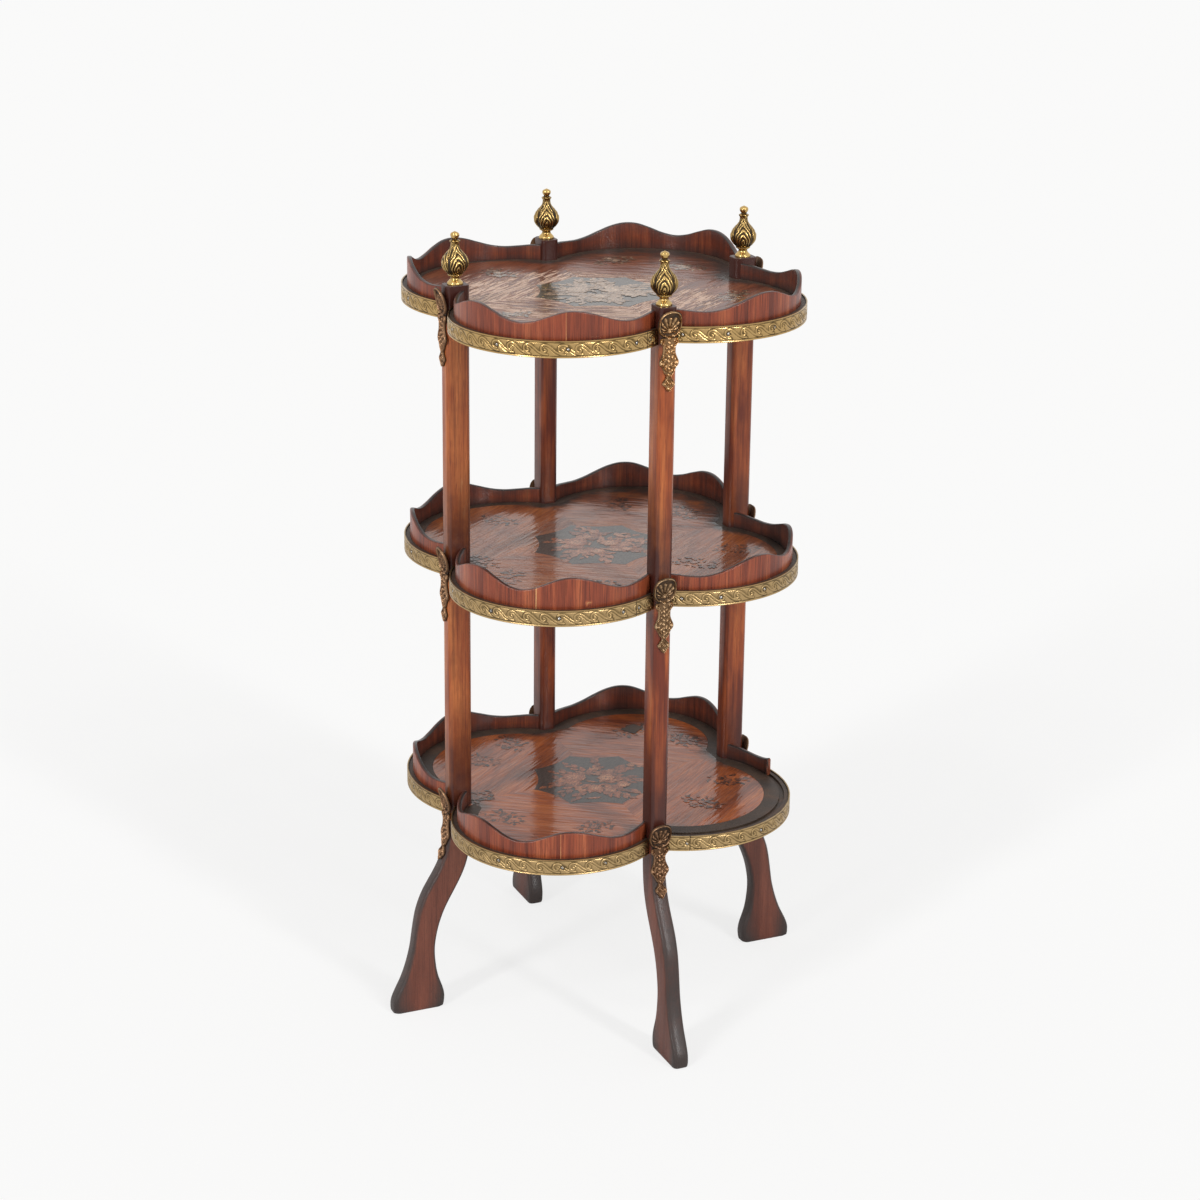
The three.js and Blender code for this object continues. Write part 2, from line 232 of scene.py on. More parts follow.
# %% Mesh helper
def piece(name, grids, material, slot, replaces=(), smooth_angle=40, sheet=False, **attributes):
    """Makes a piece from a grid, or a stack of grids, of rows x columns x 3. Unless it is a sheet it is a
    tube: each row's last point joins its first, and there is a face over each end."""
    grids = np.asarray(grids, float)
    if grids.ndim == 3:
        grids = grids[None]
    count, rows, columns, _ = grids.shape
    index = np.arange(rows * columns).reshape(rows, columns)
    ring = index if sheet else np.hstack([index, index[:, :1]])
    quads = np.stack([ring[:-1, :-1], ring[:-1, 1:], ring[1:, 1:], ring[1:, :-1]], -1).reshape(-1, 4)
    starts = np.arange(count)[:, None] * rows * columns
    faces = (quads[None] + starts[:, None]).reshape(-1, 4).tolist()
    if not sheet:
        faces += (index[0, ::-1] + starts).tolist() + (index[-1] + starts).tolist()
    mesh = bpy.data.meshes.new(name)
    mesh.from_pydata(grids.reshape(-1, 3).tolist(), [], faces)
    point_outwards(mesh, not sheet)
    for key, value in attributes.items():
        kind, field = ("FLOAT_VECTOR", "vector") if np.size(value) == grids.size else ("FLOAT", "value")
        layer = mesh.attributes.new(key, kind, "POINT")
        layer.data.foreach_set(field, np.ascontiguousarray(value, np.float32).ravel())
    mesh.shade_smooth()
    mesh.set_sharp_from_angle(angle=math.radians(smooth_angle))
    made = add_object(name, mesh)
    mesh.materials.append(material)
    if replaces:
        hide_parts(*replaces)
    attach(made, "root")
    return made


def point_outwards(mesh, closed):
    """Turns a closed mesh's faces outwards, and an open sheet's upwards."""
    work = bmesh.new()
    work.from_mesh(mesh)
    if closed:
        bmesh.ops.recalc_face_normals(work, faces=work.faces)
    else:
        for face in work.faces:
            if face.normal.z < 0:
                face.normal_flip()
    work.to_mesh(mesh)
    work.free()


print("mesh helper is ready")

# %% [markdown]
# ## Building materials in code
#
# A material is a small graph. The classes below add one node per call and hand back its output, so that a
# finish reads from top to bottom like a recipe. Colours are written as they look on a screen and turned
# into the linear values that the renderer works with.

# %% Shader helper
WHITE = (255, 255, 255)


def screen(red, green, blue):
    """A colour given in screen values of 0 to 255, as linear red, green, blue, alpha."""
    values = np.array([red, green, blue]) / 255
    linear = np.where(values <= 0.04045, values / 12.92, ((values + 0.055) / 1.055) ** 2.4)
    return (*linear.tolist(), 1.0)


class Graph:
    """A node graph under construction. Most methods add a node and return its output socket."""

    def __init__(self, tree):
        self.tree = tree

    def node(self, kind, sockets=None, output=0, **settings):
        made = self.tree.nodes.new("ShaderNode" + kind)
        for key, value in settings.items():
            setattr(made, key, value)
        for key, value in (sockets or {}).items():
            self.set(made.inputs[key], value)
        return made.outputs[output]

    def set(self, socket, value):
        """Links a socket or gives it a value. Three numbers for a colour are screen values."""
        if isinstance(value, bpy.types.NodeSocket):
            self.tree.links.new(value, socket)
        elif socket.type == "RGBA" and len(value) == 3:
            socket.default_value = screen(*value)
        else:
            socket.default_value = value

    def math(self, operation, first, second=0.5):
        return self.node("Math", {0: first, 1: second}, operation=operation)

    plus = partialmethod(math, "ADD")
    minus = partialmethod(math, "SUBTRACT")
    times = partialmethod(math, "MULTIPLY")

    def span(self, value, low, high, top=1.0):
        """low to high as the value goes from 0 to top."""
        return self.node("MapRange", {"Value": value, "From Max": top, "To Min": low, "To Max": high})

    def fade(self, value, low, high):
        """0 up to low, 1 from high."""
        return self.node("MapRange", {"Value": value, "From Min": low, "From Max": high})


class Finish(Graph):
    """The graph of a material."""

    def __init__(self, name):
        self.material = bpy.data.materials.new(name)
        self.material.use_nodes = True
        super().__init__(self.material.node_tree)
        self.shader = self.tree.nodes["Principled BSDF"]

    def surface(self, **values):
        """Sets the shader's own sockets; an underscore in a name stands for a space."""
        for key, value in values.items():
            self.set(self.shader.inputs[key.replace("_", " ")], value)

    def spot(self):
        return self.node("TexCoord", output="Object")

    def attribute(self, name, output="Fac"):
        return self.node("Attribute", output=output, attribute_name=name)

    def place(self, vector, scale=(1, 1, 1), turn=0.0, shift=(0, 0, 0)):
        sockets = {"Vector": vector, "Scale": scale, "Rotation": (0, 0, turn), "Location": shift}
        return self.node("Mapping", sockets)

    def noise(self, vector, scale, detail=3.0, roughness=0.5, distortion=0.0):
        sockets = {"Vector": vector, "Scale": scale, "Detail": detail, "Roughness": roughness}
        return self.node("TexNoise", {**sockets, "Distortion": distortion})

    def ramp(self, factor, stops):
        """stops is a list of (position, colour)."""
        made = self.tree.nodes.new("ShaderNodeValToRGB")
        bar = made.color_ramp.elements
        while len(bar) < len(stops):
            bar.new(0.5)
        for element, (position, colour) in zip(bar, stops):
            element.position = position
            element.color = screen(*colour)
        self.set(made.inputs[0], factor)
        return made.outputs[0]

    def mix(self, factor, first, second, mode="MIX"):
        return self.node("Mix", {0: factor, 6: first, 7: second}, 2, data_type="RGBA", blend_type=mode)

    def darken(self, colour, strength, value, low, dark, high):
        """A colour that is multiplied by dark where the value is up to low, and left alone from high."""
        return self.mix(strength, colour, self.ramp(value, [(low, dark), (high, WHITE)]), "MULTIPLY")

    def bump(self, height, strength, distance):
        return self.node("Bump", {"Height": height, "Strength": strength, "Distance": distance})


print("shader helper is ready")

# %% [markdown]
# ## The woods
#
# All the solid wood and the galleries share one recipe. Broad bands of colour, fine streaks and short dark
# pores all run along the grain: each is noise whose coordinates are squeezed along that direction. Pieces
# carry their own grain in an attribute, x across, y through and z along the fibres, so a bent gallery and a
# straight post can use the same recipe. Two more attributes finish it: soil says where dirt and
# stain have gathered, along edges and at the feet, and where shade is painted in, on the posts by the
# shelves and on the galleries' inner faces and feet; and tone makes a stick lighter or darker than its
# neighbours.

# %% Wood recipe
Palette = namedtuple("Palette", "dark middle light")
PALE_WOOD = (216, 168, 112)
MAHOGANY = Palette((104, 40, 18), (156, 76, 34), (186, 106, 54))
ROSEWOOD = Palette((108, 47, 29), (138, 63, 37), (164, 86, 52))
LEG_TONES = Palette((86, 43, 30), (110, 59, 43), (128, 74, 55))
SOIL_AND_SHADE = (38, 28, 25)
BUMP_DEPTH = 0.2 * MM


def grain_colour(
    finish, grain, palette, band_scale, streak_scale=620, streak_depth=0.55, stretch=0.12, pore_scale=2300
):
    """Colour of a board from its grain coordinates, with the streaks and the pores by themselves."""
    broad = finish.noise(finish.place(grain, (1, 1, stretch)), band_scale, detail=4, distortion=3 * stretch)
    broad = finish.plus(broad, finish.attribute("tone"))
    stops = [(0.3, palette.dark), (0.5, palette.middle), (0.72, palette.light), (0.8, palette.light)]
    colour = finish.ramp(broad, stops + [(1.0, PALE_WOOD)])
    streaks = finish.noise(finish.place(grain, (1, 1, 0.02)), streak_scale, detail=3, roughness=0.6)
    colour = finish.darken(colour, streak_depth, streaks, 0.32, (120, 96, 88), 0.55)
    pores = finish.noise(finish.place(grain, (1, 1, 0.05)), pore_scale, detail=1)
    pore_mask = finish.fade(pores, 0.60, 0.70)
    return finish.mix(finish.times(pore_mask, 0.55), colour, palette.dark), streaks, pore_mask


def wood(name, palette, roughness=(0.32, 0.5), coat=0.2, dirt_and_shade=SOIL_AND_SHADE, rubbed=0.0, relief=0.25, **grain):
    """A finished wood for pieces that carry grain, soil and tone attributes. Where it is rubbed, the
    streaks of the grain show through the dirt and the painted shade."""
    finish = Finish(name)
    along = finish.attribute("grain", "Vector")
    colour, streaks, pores = grain_colour(finish, along, palette, **grain)
    grime = finish.noise(along, 38.0, detail=5, roughness=0.65)
    soil = finish.plus(finish.attribute("soil"), finish.times(grime, 0.5))
    soil = finish.fade(finish.minus(soil, finish.times(streaks, rubbed)), 0.45, 1.15)
    # One dark colour stands for both the dirt and the painted shade
    colour = finish.mix(soil, colour, dirt_and_shade)
    height = finish.minus(finish.times(streaks, 0.5), pores)
    finish.surface(Base_Color=colour, Roughness=finish.span(grime, *roughness), Specular_IOR_Level=0.35)
    finish.surface(Coat_Weight=coat, Coat_Roughness=0.22, Normal=finish.bump(height, relief, BUMP_DEPTH))
    return finish.material


POST_WOOD = wood("post mahogany", MAHOGANY, coat=0.14, dirt_and_shade=(60, 26, 19), band_scale=95, pore_scale=1300)
LEG_WOOD = wood(
    "leg mahogany", LEG_TONES, (0.36, 0.6), 0.16, (50, 40, 37), 0.25, 0.7, band_scale=45, streak_depth=0.45
)
GALLERY_WOOD = wood(
    "gallery rosewood", ROSEWOOD, band_scale=150, streak_scale=1250, streak_depth=0.8, stretch=0.05
)
print("woods:", POST_WOOD.name, LEG_WOOD.name, GALLERY_WOOD.name)

# %% [markdown]
# ## The posts
#
# Each post is one stick, wider along the diagonal than across it, with all four corners planed off. A box
# with a bevel would do for its shape, but a loft of its true section lets the planed corners be eased with
# a small radius, so that they catch a line of light. The section's corner points are rounded by replacing
# each with a short arc.

# %% Posts
POST_DEPTH = 24 * MM
POST_WIDTH = 18 * MM
POST_CHAMFER = 3 * MM
POST_LEVELS = 72
EASED = 0.9 * MM
# Where dirt and painted shade stand on a post above each shelf: at full strength, faded out, and the fall of
# its darkest part
STAIN_AND_SHADE_FULL, STAIN_AND_SHADE_FALL = 20 * MM, 14 * MM
TOP_STAIN_AND_SHADE = 0.95
Stick = namedtuple("Stick", "tone lower_bay_tone stain stain_reach foot_stain leg_tone eye_facing")
STICKS = {
    "front_left": Stick(0.17, -0.02, 0.56, 135 * MM, 0.66, 0.0, -48),
    "front_right": Stick(0.1, -0.24, 0.68, 145 * MM, 0.85, -0.05, -69),
    "back_right": Stick(-0.08, 0, 0.4, 90 * MM, 0.7, -0.2, -72),
    "back_left": Stick(-0.13, 0, 0.5, 90 * MM, 0.8, -0.2, -66),
}


def eased_polygon(corners, radius, steps=3):
    """A closed outline whose corners are cut back by radius and bridged by a quadratic arc."""
    corners = np.asarray(corners, float)
    before = np.roll(corners, 1, axis=0) - corners
    after = np.roll(corners, -1, axis=0) - corners
    start = corners + radius * before / np.linalg.norm(before, axis=1, keepdims=True)
    end = corners + radius * after / np.linalg.norm(after, axis=1, keepdims=True)
    t = np.linspace(0, 1, steps)[None, :, None]
    arcs = start[:, None] * (1 - t) ** 2 + 2 * corners[:, None] * t * (1 - t) + end[:, None] * t**2
    return arcs.reshape(-1, 2)


def post_section():
    a, b, c = POST_DEPTH / 2, POST_WIDTH / 2, POST_CHAMFER
    quarter = [(a, b - c), (a - c, b)]
    half = quarter + [(-x, y) for x, y in reversed(quarter)]
    return eased_polygon(half + [(-x, -y) for x, y in half], EASED)


def stain(name, up):
    """Dirt and painted shade on a post: most above each shelf and beside its band, and a little below."""
    stick = STICKS[name]
    marks = []
    for shelf, z in TABLE_TOP.items():
        most = TOP_STAIN_AND_SHADE if shelf == "top" else stick.stain
        over, under = up - z, UNDERSIDE[shelf] - up
        # Each mark is dirt and painted shade: above the shelf, at its foot, in the slot beside the band, and
        # under it
        marks.append(most * (1 - ease(over, STAIN_AND_SHADE_FULL, stick.stain_reach)) * (over > -MM))
        marks.append(stick.foot_stain * fall(over, STAIN_AND_SHADE_FALL) * (over > -MM))
        marks.append(TOP_STAIN_AND_SHADE * (under < -2 * MM) * (over < 0))
        marks.append(0.3 * fall(under, 8 * MM) * (under > -MM))
    return np.max(marks, axis=0)


def grain_from(out, across, along, seed):
    """Grain coordinates for a stick; the seed makes each stick's figure its own."""
    return points_at(out + seed, across + seed, along)


def make_post(name):
    corner = CORNERS[name]
    bottom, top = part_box(f"{name}_post")[0].z, POST_TOP
    ends = np.array([0, 0.6, 1.2]) * MM
    levels = np.concatenate([bottom + ends, np.linspace(bottom, top, POST_LEVELS)[2:-2], top - ends[::-1]])
    shrink = 1 - 0.04 * (np.abs(levels - top) < EASED / 3)
    out, across = (side * shrink[:, None] for side in post_section().T[:, None])
    up = levels[:, None] + 0 * out
    planed = ease((np.abs(out) / POST_DEPTH + np.abs(across) / POST_WIDTH) * 2, 1.45, 1.75)
    tone = STICKS[name].tone + np.where(up < UNDERSIDE["middle"], STICKS[name].lower_bay_tone, 0)
    return piece(
        f"post_{name}", at_corner(corner, out, across, up), POST_WOOD, "mahogany", [f"{name}_post"],
        smooth_angle=30, grain=grain_from(out, across, up, corner.x * 7 + corner.y * 3),
        soil=0.3 * planed + stain(name, up), tone=tone,
    )


posts = [make_post(name) for name in CORNERS]
print(len(posts), "posts of", len(posts[0].data.vertices), "points")

# %% [markdown]
# ## The legs
#
# The legs are sawn from a board that stands in the diagonal plane, then their long edges are rounded over.
# The CAD leg gives the outline: at each of its levels the least and greatest distance out along the
# diagonal. A smooth curve through those levels, lofted with a rounded rectangle, gives the leg without its
# facets. The outer and inner edges are almost black with age, so they carry more soil.

# %% Legs
LEG_THICKNESS = 16.5 * MM
LEG_ROUNDING = 4.2 * MM
LEG_LEVELS = 110
LEAST_LEG_WIDTH = 20 * MM
SOLE_EASE = 1.2 * MM


def rounded_rectangle(half_long, half_short, radius, steps=5):
    """A ring of points for each row: quarter circles joined by straight sides, with points halfway."""
    turn = np.linspace(0, np.pi / 2, steps)
    arc_x = (half_long - radius)[:, None] + radius * np.cos(turn)
    arc_y = (half_short - radius)[:, None] + radius * np.sin(turn)
    x = np.hstack([arc_x, 0 * arc_x[:, :1], -arc_x[:, ::-1]])
    y = np.hstack([arc_y, half_short[:, None], arc_y[:, ::-1]])
    return np.hstack([x, -x]), np.hstack([y, -y])


def leg_outline(name):
    """Levels of the CAD leg with its inner and outer reach at each, where its full width is given."""
    out, _, up = from_corner(CORNERS[name], cad_points(f"{name}_leg"))
    levels, rows = by_level(up, out)
    inner, outer = np.array([[row.min(), row.max()] for row in rows]).T
    full = outer - inner > LEAST_LEG_WIDTH
    return levels[full], inner[full], outer[full]


def make_leg(name):
    corner = CORNERS[name]
    levels, inner, outer = leg_outline(name)
    up = levels[0] + (levels[-1] - levels[0]) * np.linspace(0, 1, LEG_LEVELS) ** 1.1
    low, high = smooth_through(up, levels, inner), smooth_through(up, levels, outer)
    half_short = LEG_THICKNESS / 2 - SOLE_EASE * fall(up, SOLE_EASE)
    x, y = rounded_rectangle((high - low) / 2, half_short, LEG_ROUNDING)
    out = (high + low)[:, None] / 2 + x
    up = up[:, None] + 0 * x
    edge = ease(np.abs(x) / np.abs(x).max(axis=1, keepdims=True), 0.66, 0.9)
    return piece(
        f"leg_{name}", at_corner(corner, out, y, up), LEG_WOOD, "mahogany", [f"{name}_leg"],
        smooth_angle=50, grain=grain_from(out, y, up, corner.x * 5 + corner.y * 11),
        soil=0.95 * edge + 0.3 * fall(up, STAIN_AND_SHADE_FALL), tone=0 * up + STICKS[name].leg_tone,
    )


legs = [make_leg(name) for name in CORNERS]
print(len(legs), "legs of", len(legs[0].data.vertices), "points")

# %% [markdown]
# ## The galleries
#
# A gallery is a thin strip bent along a lobe, veneered on both faces with the grain upright, so that it
# reads as many narrow staves. Its wavy top is read from the CAD gallery: the highest points, sorted by
# their share of the way along the lobe. Its top edges are eased, and there the veneer has worn through to a
# dark line. A broken end is ragged and shows its layers.

# %% Galleries
GALLERY_INSET = 6.2 * MM
GALLERY_THICKNESS = 4.5 * MM
GALLERY_STEPS = 75  # for each unit of share along a lobe
GALLERY_EASE = 1.1 * MM
ABOVE_THE_FOOT = 5 * MM
LAYER = 1.6 * MM  # two layers of the glued strip
SPLINTER = 2.5 * MM
SEAM_SHARE = {"top": 0.29, "middle": 0.115, "lower": 0.278}  # where the front galleries' veneer has parted
SEAM_WIDTH = 0.45 * MM
LOBE_HALF = 0.16  # about half a lobe's length in metres, to turn a width into a share
GALLERY_ROWS = 12
# Where a gallery has lost a chip: its share, height above the shelf, half width and half height
CHIPS = {("middle", "front"): (0.44, 5.5 * MM, 3.4 * MM, 2.4 * MM)}


def lobe_share(lobe, points):
    """The share of the way along a lobe at which each point lies."""
    angle = np.arctan2(points[:, 1] - lobe.y, points[:, 0] - lobe.x) - lobe.heading
    return ((angle + np.pi) % TAU - np.pi) / lobe.span


def gallery_crest(shelf, lobe_name):
    """Shares along the lobe and the height of the CAD gallery's top at each."""
    lobe = LOBES[lobe_name]
    points = cad_points(f"{shelf}_{lobe_name}_gallery")
    points = points[points[:, 2] > TABLE_TOP[shelf] + ABOVE_THE_FOOT]
    shares = np.round(lobe_share(lobe, points), 3)
    knots = np.unique(shares)
    heights = np.array([points[shares == knot, 2].max() for knot in knots])
    return knots, heights


def gallery_section(height, bottom):
    """Insets and heights of one ring, from the foot of the outer face over the top to the foot inside."""
    turn = np.linspace(0, np.pi / 2, 4)
    edge, thick = GALLERY_EASE, GALLERY_THICKNESS
    sine, cosine = edge * np.sin(turn), edge * np.cos(turn)
    inset = np.concatenate([np.zeros(GALLERY_ROWS), edge - cosine, thick - edge + sine, [thick, thick]])
    face = [bottom + (height - edge - bottom) * share for share in np.linspace(0, 0.97, GALLERY_ROWS)]
    over = [height - edge + rise for rise in [*sine, *cosine]]
    return inset, np.stack([*face, *over, (bottom + height) / 2, bottom], 1)


def gallery_stations(knots, seam, chip):
    """Shares along the lobe at which the gallery is worked out, closer at its seam and its chip."""
    share = np.linspace(knots[0], knots[-1], max(40, int(GALLERY_STEPS * (knots[-1] - knots[0]))))
    if seam is not None:
        share = np.concatenate([share, seam + np.linspace(-1, 1, 5) * 1.4 * SEAM_WIDTH / LOBE_HALF])
    if chip is not None:
        share = np.concatenate([share, chip[0] + np.linspace(-1, 1, 15) * chip[2] / LOBE_HALF])
    return np.unique(share)


def chip_mark(along, rise, chip):
    """1 inside a chip with a ragged edge, 0 away from it."""
    _, height, half_width, half_height = chip
    x, y = along / half_width, (rise - height) / half_height
    turn = np.arctan2(y, x)
    return ease(1 + 0.16 * np.sin(3 * turn + 1) + 0.12 * np.sin(5 * turn) - np.hypot(x, y), 0, 0.3)


def make_gallery(shelf, lobe_name):
    lobe = LOBES[lobe_name]
    seam = SEAM_SHARE[shelf] if lobe_name == "front" else None
    chip = CHIPS.get((shelf, lobe_name))
    knots, heights = gallery_crest(shelf, lobe_name)
    share = gallery_stations(knots, seam, chip)
    bottom = np.full_like(share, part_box(f"{shelf}_{lobe_name}_gallery")[0].z)
    inset, rise = gallery_section(smooth_through(share, knots, heights), bottom)
    arc = lobe.span * lobe.radius
    run = share[:, None] * arc + 0 * rise
    broken = fall(run - run[0], SPLINTER) * (knots[0] > -0.9)
    splinters = np.sin(rise * 2900) + np.sin(rise * 1700 + inset * 4000)  # from -2 to 2
    insets = GALLERY_INSET + inset + 0 * rise
    x, y = on_lobe(lobe, run / arc + 0.004 * broken * (2.1 + splinters), insets)
    seed = UNDERSIDE[shelf] * 3 + lobe.heading
    worn = ease(rise.max(axis=1, keepdims=True) - rise, 1.6 * MM, 0.2 * MM)
    foot = fall(rise - TABLE_TOP[shelf], 3.5 * MM)
    inside = ease(inset, GALLERY_THICKNESS * 0.4, GALLERY_THICKNESS * 0.8)
    layers = 0.5 + 0.5 * np.sin(TAU * inset / LAYER)
    drift = 0.06 * (np.sin(run * 61 + seed) + np.sin(run * 143 + 2 * seed))
    # The inner faces' tone is a little lower: painted shade
    tone = broken * (0.12 + 0.34 * layers) - 0.05 * inside + drift
    if seam is not None:
        tone = tone + 0.55 * line((share[:, None] - seam) * arc, SEAM_WIDTH) * (1 - inside)
    if chip is not None:
        along = (share[:, None] - chip[0]) * arc
        tone = tone + 0.45 * chip_mark(along, rise - TABLE_TOP[shelf], chip) * (1 - inside)
    # The dark top line is wear; the darker inner faces, most on the right lobe, and the foot against the
    # board are painted shade
    soil = 0.62 * worn + 0.42 * foot + (0.52 if lobe_name == "right" else 0.4) * inside
    return piece(
        f"gallery_{shelf}_{lobe_name}", points_at(x, y, rise), GALLERY_WOOD, "gallery_veneer",
        [f"{shelf}_{lobe_name}_gallery"], smooth_angle=50, grain=grain_from(run, insets, rise, seed),
        soil=soil, tone=tone,
    )


galleries = [make_gallery(shelf, lobe_name) for shelf in SHELVES for lobe_name in LOBES]
print(len(galleries), "galleries, the stub from share", round(gallery_crest("lower", "right")[0][0], 3))

# %% [markdown]
# ## Brass
#
# Old brass is bright where hands and cloths reach it and nearly black in its hollows. The relief of each
# ornament is stored as an attribute, 0 in the hollows and 1 on the heights, and the material turns it into
# colour, roughness and how metallic the surface is. A little noise breaks it up: partly patchy tarnish,
# partly painted highlights and dull patches that vary the brightness of the metal.

# %% Brass recipe
def brass(name, dark, middle, bright, polish=(0.5, 0.28), patchy=0.5):
    """Tarnished brass. polish is its roughness in the hollows and on the heights."""
    finish = Finish(name)
    spot = finish.spot()
    # Patches of tarnish and of painted highlight: the noise lightens and darkens the brass in broad patches
    patches = finish.noise(spot, 110.0, detail=5, roughness=0.65)
    level = finish.plus(finish.attribute("relief"), finish.times(finish.minus(patches, 0.5), patchy))
    colour = finish.ramp(level, [(0.06, dark), (0.42, middle), (0.85, bright)])
    scratches = finish.noise(spot, 1500.0, detail=2)
    finish.surface(Base_Color=colour, Roughness=finish.span(level, *polish))
    finish.surface(Metallic=finish.span(level, 0.55, 1.0, top=0.3))
    finish.surface(Normal=finish.bump(scratches, 0.12, BUMP_DEPTH))
    return finish.material


BAND_BRASS = brass("band brass", (58, 45, 29), (122, 99, 62), (188, 156, 104), (0.44, 0.2), 1.3)
DULL_BRASS = brass("dull brass", (66, 53, 35), (124, 103, 69), (178, 150, 106), (0.48, 0.3), 1.2)
FINIAL_BRASS = brass("finial brass", (30, 22, 13), (108, 84, 46), (196, 164, 104), (0.42, 0.2))
MOUNT_BRASS = {
    "top": brass("mount brass", (44, 33, 27), (122, 93, 64), (192, 155, 112), patchy=0.7),
    "middle": brass("mount bronze", (46, 35, 29), (110, 86, 63), (170, 141, 108), (0.6, 0.42), 0.7),
    "lower": brass("dark bronze", (38, 29, 24), (92, 68, 50), (146, 113, 86), (0.6, 0.42), 0.7),
}
print("brasses:", BAND_BRASS.name, FINIAL_BRASS.name, len(MOUNT_BRASS), "for the mounts")

# %% [markdown]
# ## The pressed bands
#
# Each shelf edge wears a strip of pressed brass with a running scroll: waves that curl over, slanted leaves
# in the gaps, and a plain rim along each side. The pattern is a height for each point, given its distance
# along the strip and its share of the strip's height. Its grooves sink below the rims, so nothing stands
# proud of the strip's face. The strip is a closed tube: the worked face, its edges and a plain back.

# %% Bands
BAND_THICKNESS = 1.6 * MM
RELIEF_DEPTH = 0.8 * MM
SCROLL_PITCH = 16.3 * MM
# One wave of the scroll, in band heights: from the eye of its curl over the crest and down to the right
WAVE = [
    (0.32, 0.0), (0.4, -0.08), (0.32, -0.17), (0.18, -0.15), (0.1, 0.0), (0.14, 0.16), (0.3, 0.25),
    (0.5, 0.22), (0.72, 0.06), (0.96, -0.14), (1.25, -0.27), (1.5, -0.31),
]
LEAF_CUT = [(0.56, 0.31), (0.73, 0.25), (0.92, 0.08), (1.02, 0.0)]
BAND_STEP = 0.5 * MM
BAND_ROWS = 35
RIM_SHARE = 0.1
# Half widths in band heights: of the wave, of the grooves beside it, and of the clear space around it
WAVE_HALF, GROOVE_HALF, CLEAR_OF_WAVE = 0.078, 0.036, 0.12
# Pins and butt joints of the strips, as shares of the way along each lobe
PINS = {
    "top": {"front": [-0.578, -0.127, 0.3, 0.735, 0.85], "right": [-0.892, -0.625, -0.305, 0.157, 0.6]},
    "middle": {"front": [-0.6, -0.172, 0.258, 0.663, 0.79], "right": [-0.865, -0.628, -0.32, 0.21, 0.62]},
    "lower": {"front": [-0.572, -0.12, 0.288, 0.558], "right": [-0.8, -0.285, 0.153, 0.6]},
}
HIDDEN_PINS = [-0.84, -0.4, 0.06, 0.54]
BAND_SEAMS = {("top", "front"): 0.8255, ("middle", "front"): 0.7665, ("lower", "right"): -0.782}
PIN_RADIUS = 1.5 * MM
PIN_HEIGHT = 0.75 * MM


def reach_to(x, y, points, pitch):
    """Distance from each place to a curve through the points, repeated at the pitch."""
    points = np.array(points)
    knots = np.arange(len(points))
    fine = np.linspace(0, knots[-1], 7 * len(points))
    nearest = np.full(np.broadcast(x, y).shape, np.inf)
    for cx, cy in zip(*(smooth_through(fine, knots, column) for column in points.T)):
        beside = (x - cx + pitch / 2) % pitch - pitch / 2
        nearest = np.minimum(nearest, np.hypot(beside, y - cy))
    return nearest


def scroll_relief(run, rise, height):
    """Relief from 0 to 1 of the running scroll between two plain rims: a groove on each side of the wave,
    and a shorter cut behind its crest."""
    x, y = run / height, rise - 0.5
    pitch = SCROLL_PITCH / height
    from_wave = reach_to(x, y, WAVE, pitch)
    cut = line(reach_to(x, y, LEAF_CUT, pitch), GROOVE_HALF) * (from_wave > CLEAR_OF_WAVE)
    pattern = 1 - 0.72 * line(from_wave - WAVE_HALF, GROOVE_HALF) - 0.45 * cut
    to_edge = 0.5 - np.abs(y)
    channel = 1 - 0.8 * line(to_edge - RIM_SHARE, 0.035)
    return np.where(to_edge > RIM_SHARE, pattern, 1) * channel


def pins_of(shelf, lobe_name):
    return np.array(PINS[shelf].get(lobe_name, HIDDEN_PINS))


def pin_dents(share, rise, pins, lobe, height):
    """1 in a ring round each pin, where the brass is dented and dark."""
    along = (share - pins) * lobe.span * lobe.radius
    away = np.hypot(along[:, None, :], (rise[None, :, None] - 0.5) * height).min(axis=-1)
    return line(away - PIN_RADIUS - 0.3 * MM, 0.55 * MM)


def face_share(node, lobe):
    """The shares between which a CAD node shows along its lobe."""
    shares = lobe_share(lobe, cad_points(node))
    return shares.min(), shares.max()


def make_band(shelf, lobe_name):
    lobe = LOBES[lobe_name]
    node = f"{shelf}_{lobe_name}_band"
    low, high = (corner.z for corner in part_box(node))
    first, last = face_share(node, lobe)
    arc = lobe.span * lobe.radius
    share = np.linspace(first, last, int((last - first) * arc / BAND_STEP))[:, None]
    rise = np.linspace(0, 1, BAND_ROWS)
    height = scroll_relief(share * arc + UNDERSIDE[shelf], rise[None], high - low)
    height = height * (1 - pin_dents(share, rise, pins_of(shelf, lobe_name), lobe, high - low))
    if (shelf, lobe_name) in BAND_SEAMS:
        height = height * (1 - line((share - BAND_SEAMS[shelf, lobe_name]) * arc, 0.5 * MM))
    back = np.ones((len(share), 2))
    inset = np.hstack([BAND_THICKNESS * back, RELIEF_DEPTH * (1 - height)])
    up = np.concatenate([[high, low], low + (high - low) * rise])
    metal = BAND_BRASS if shelf == "top" else DULL_BRASS
    return piece(
        f"band_{shelf}_{lobe_name}", points_at(*on_lobe(lobe, share, inset), up), metal, "gilt_brass",
        [node], smooth_angle=60, relief=np.hstack([0.1 * back, height]),
    )


bands = [make_band(shelf, lobe_name) for shelf in SHELVES for lobe_name in LOBES]
print(len(bands), "bands of", len(bands[0].data.polygons), "faces")

# %% [markdown]
# ## The pins
#
# Round-headed steel pins hold the bands, most of them about seventy millimetres apart. A head is a cap of a
# sphere: rings whose radius and height follow a quarter circle. All the pins of a shelf are one stack of
# equal grids, so they make one piece.

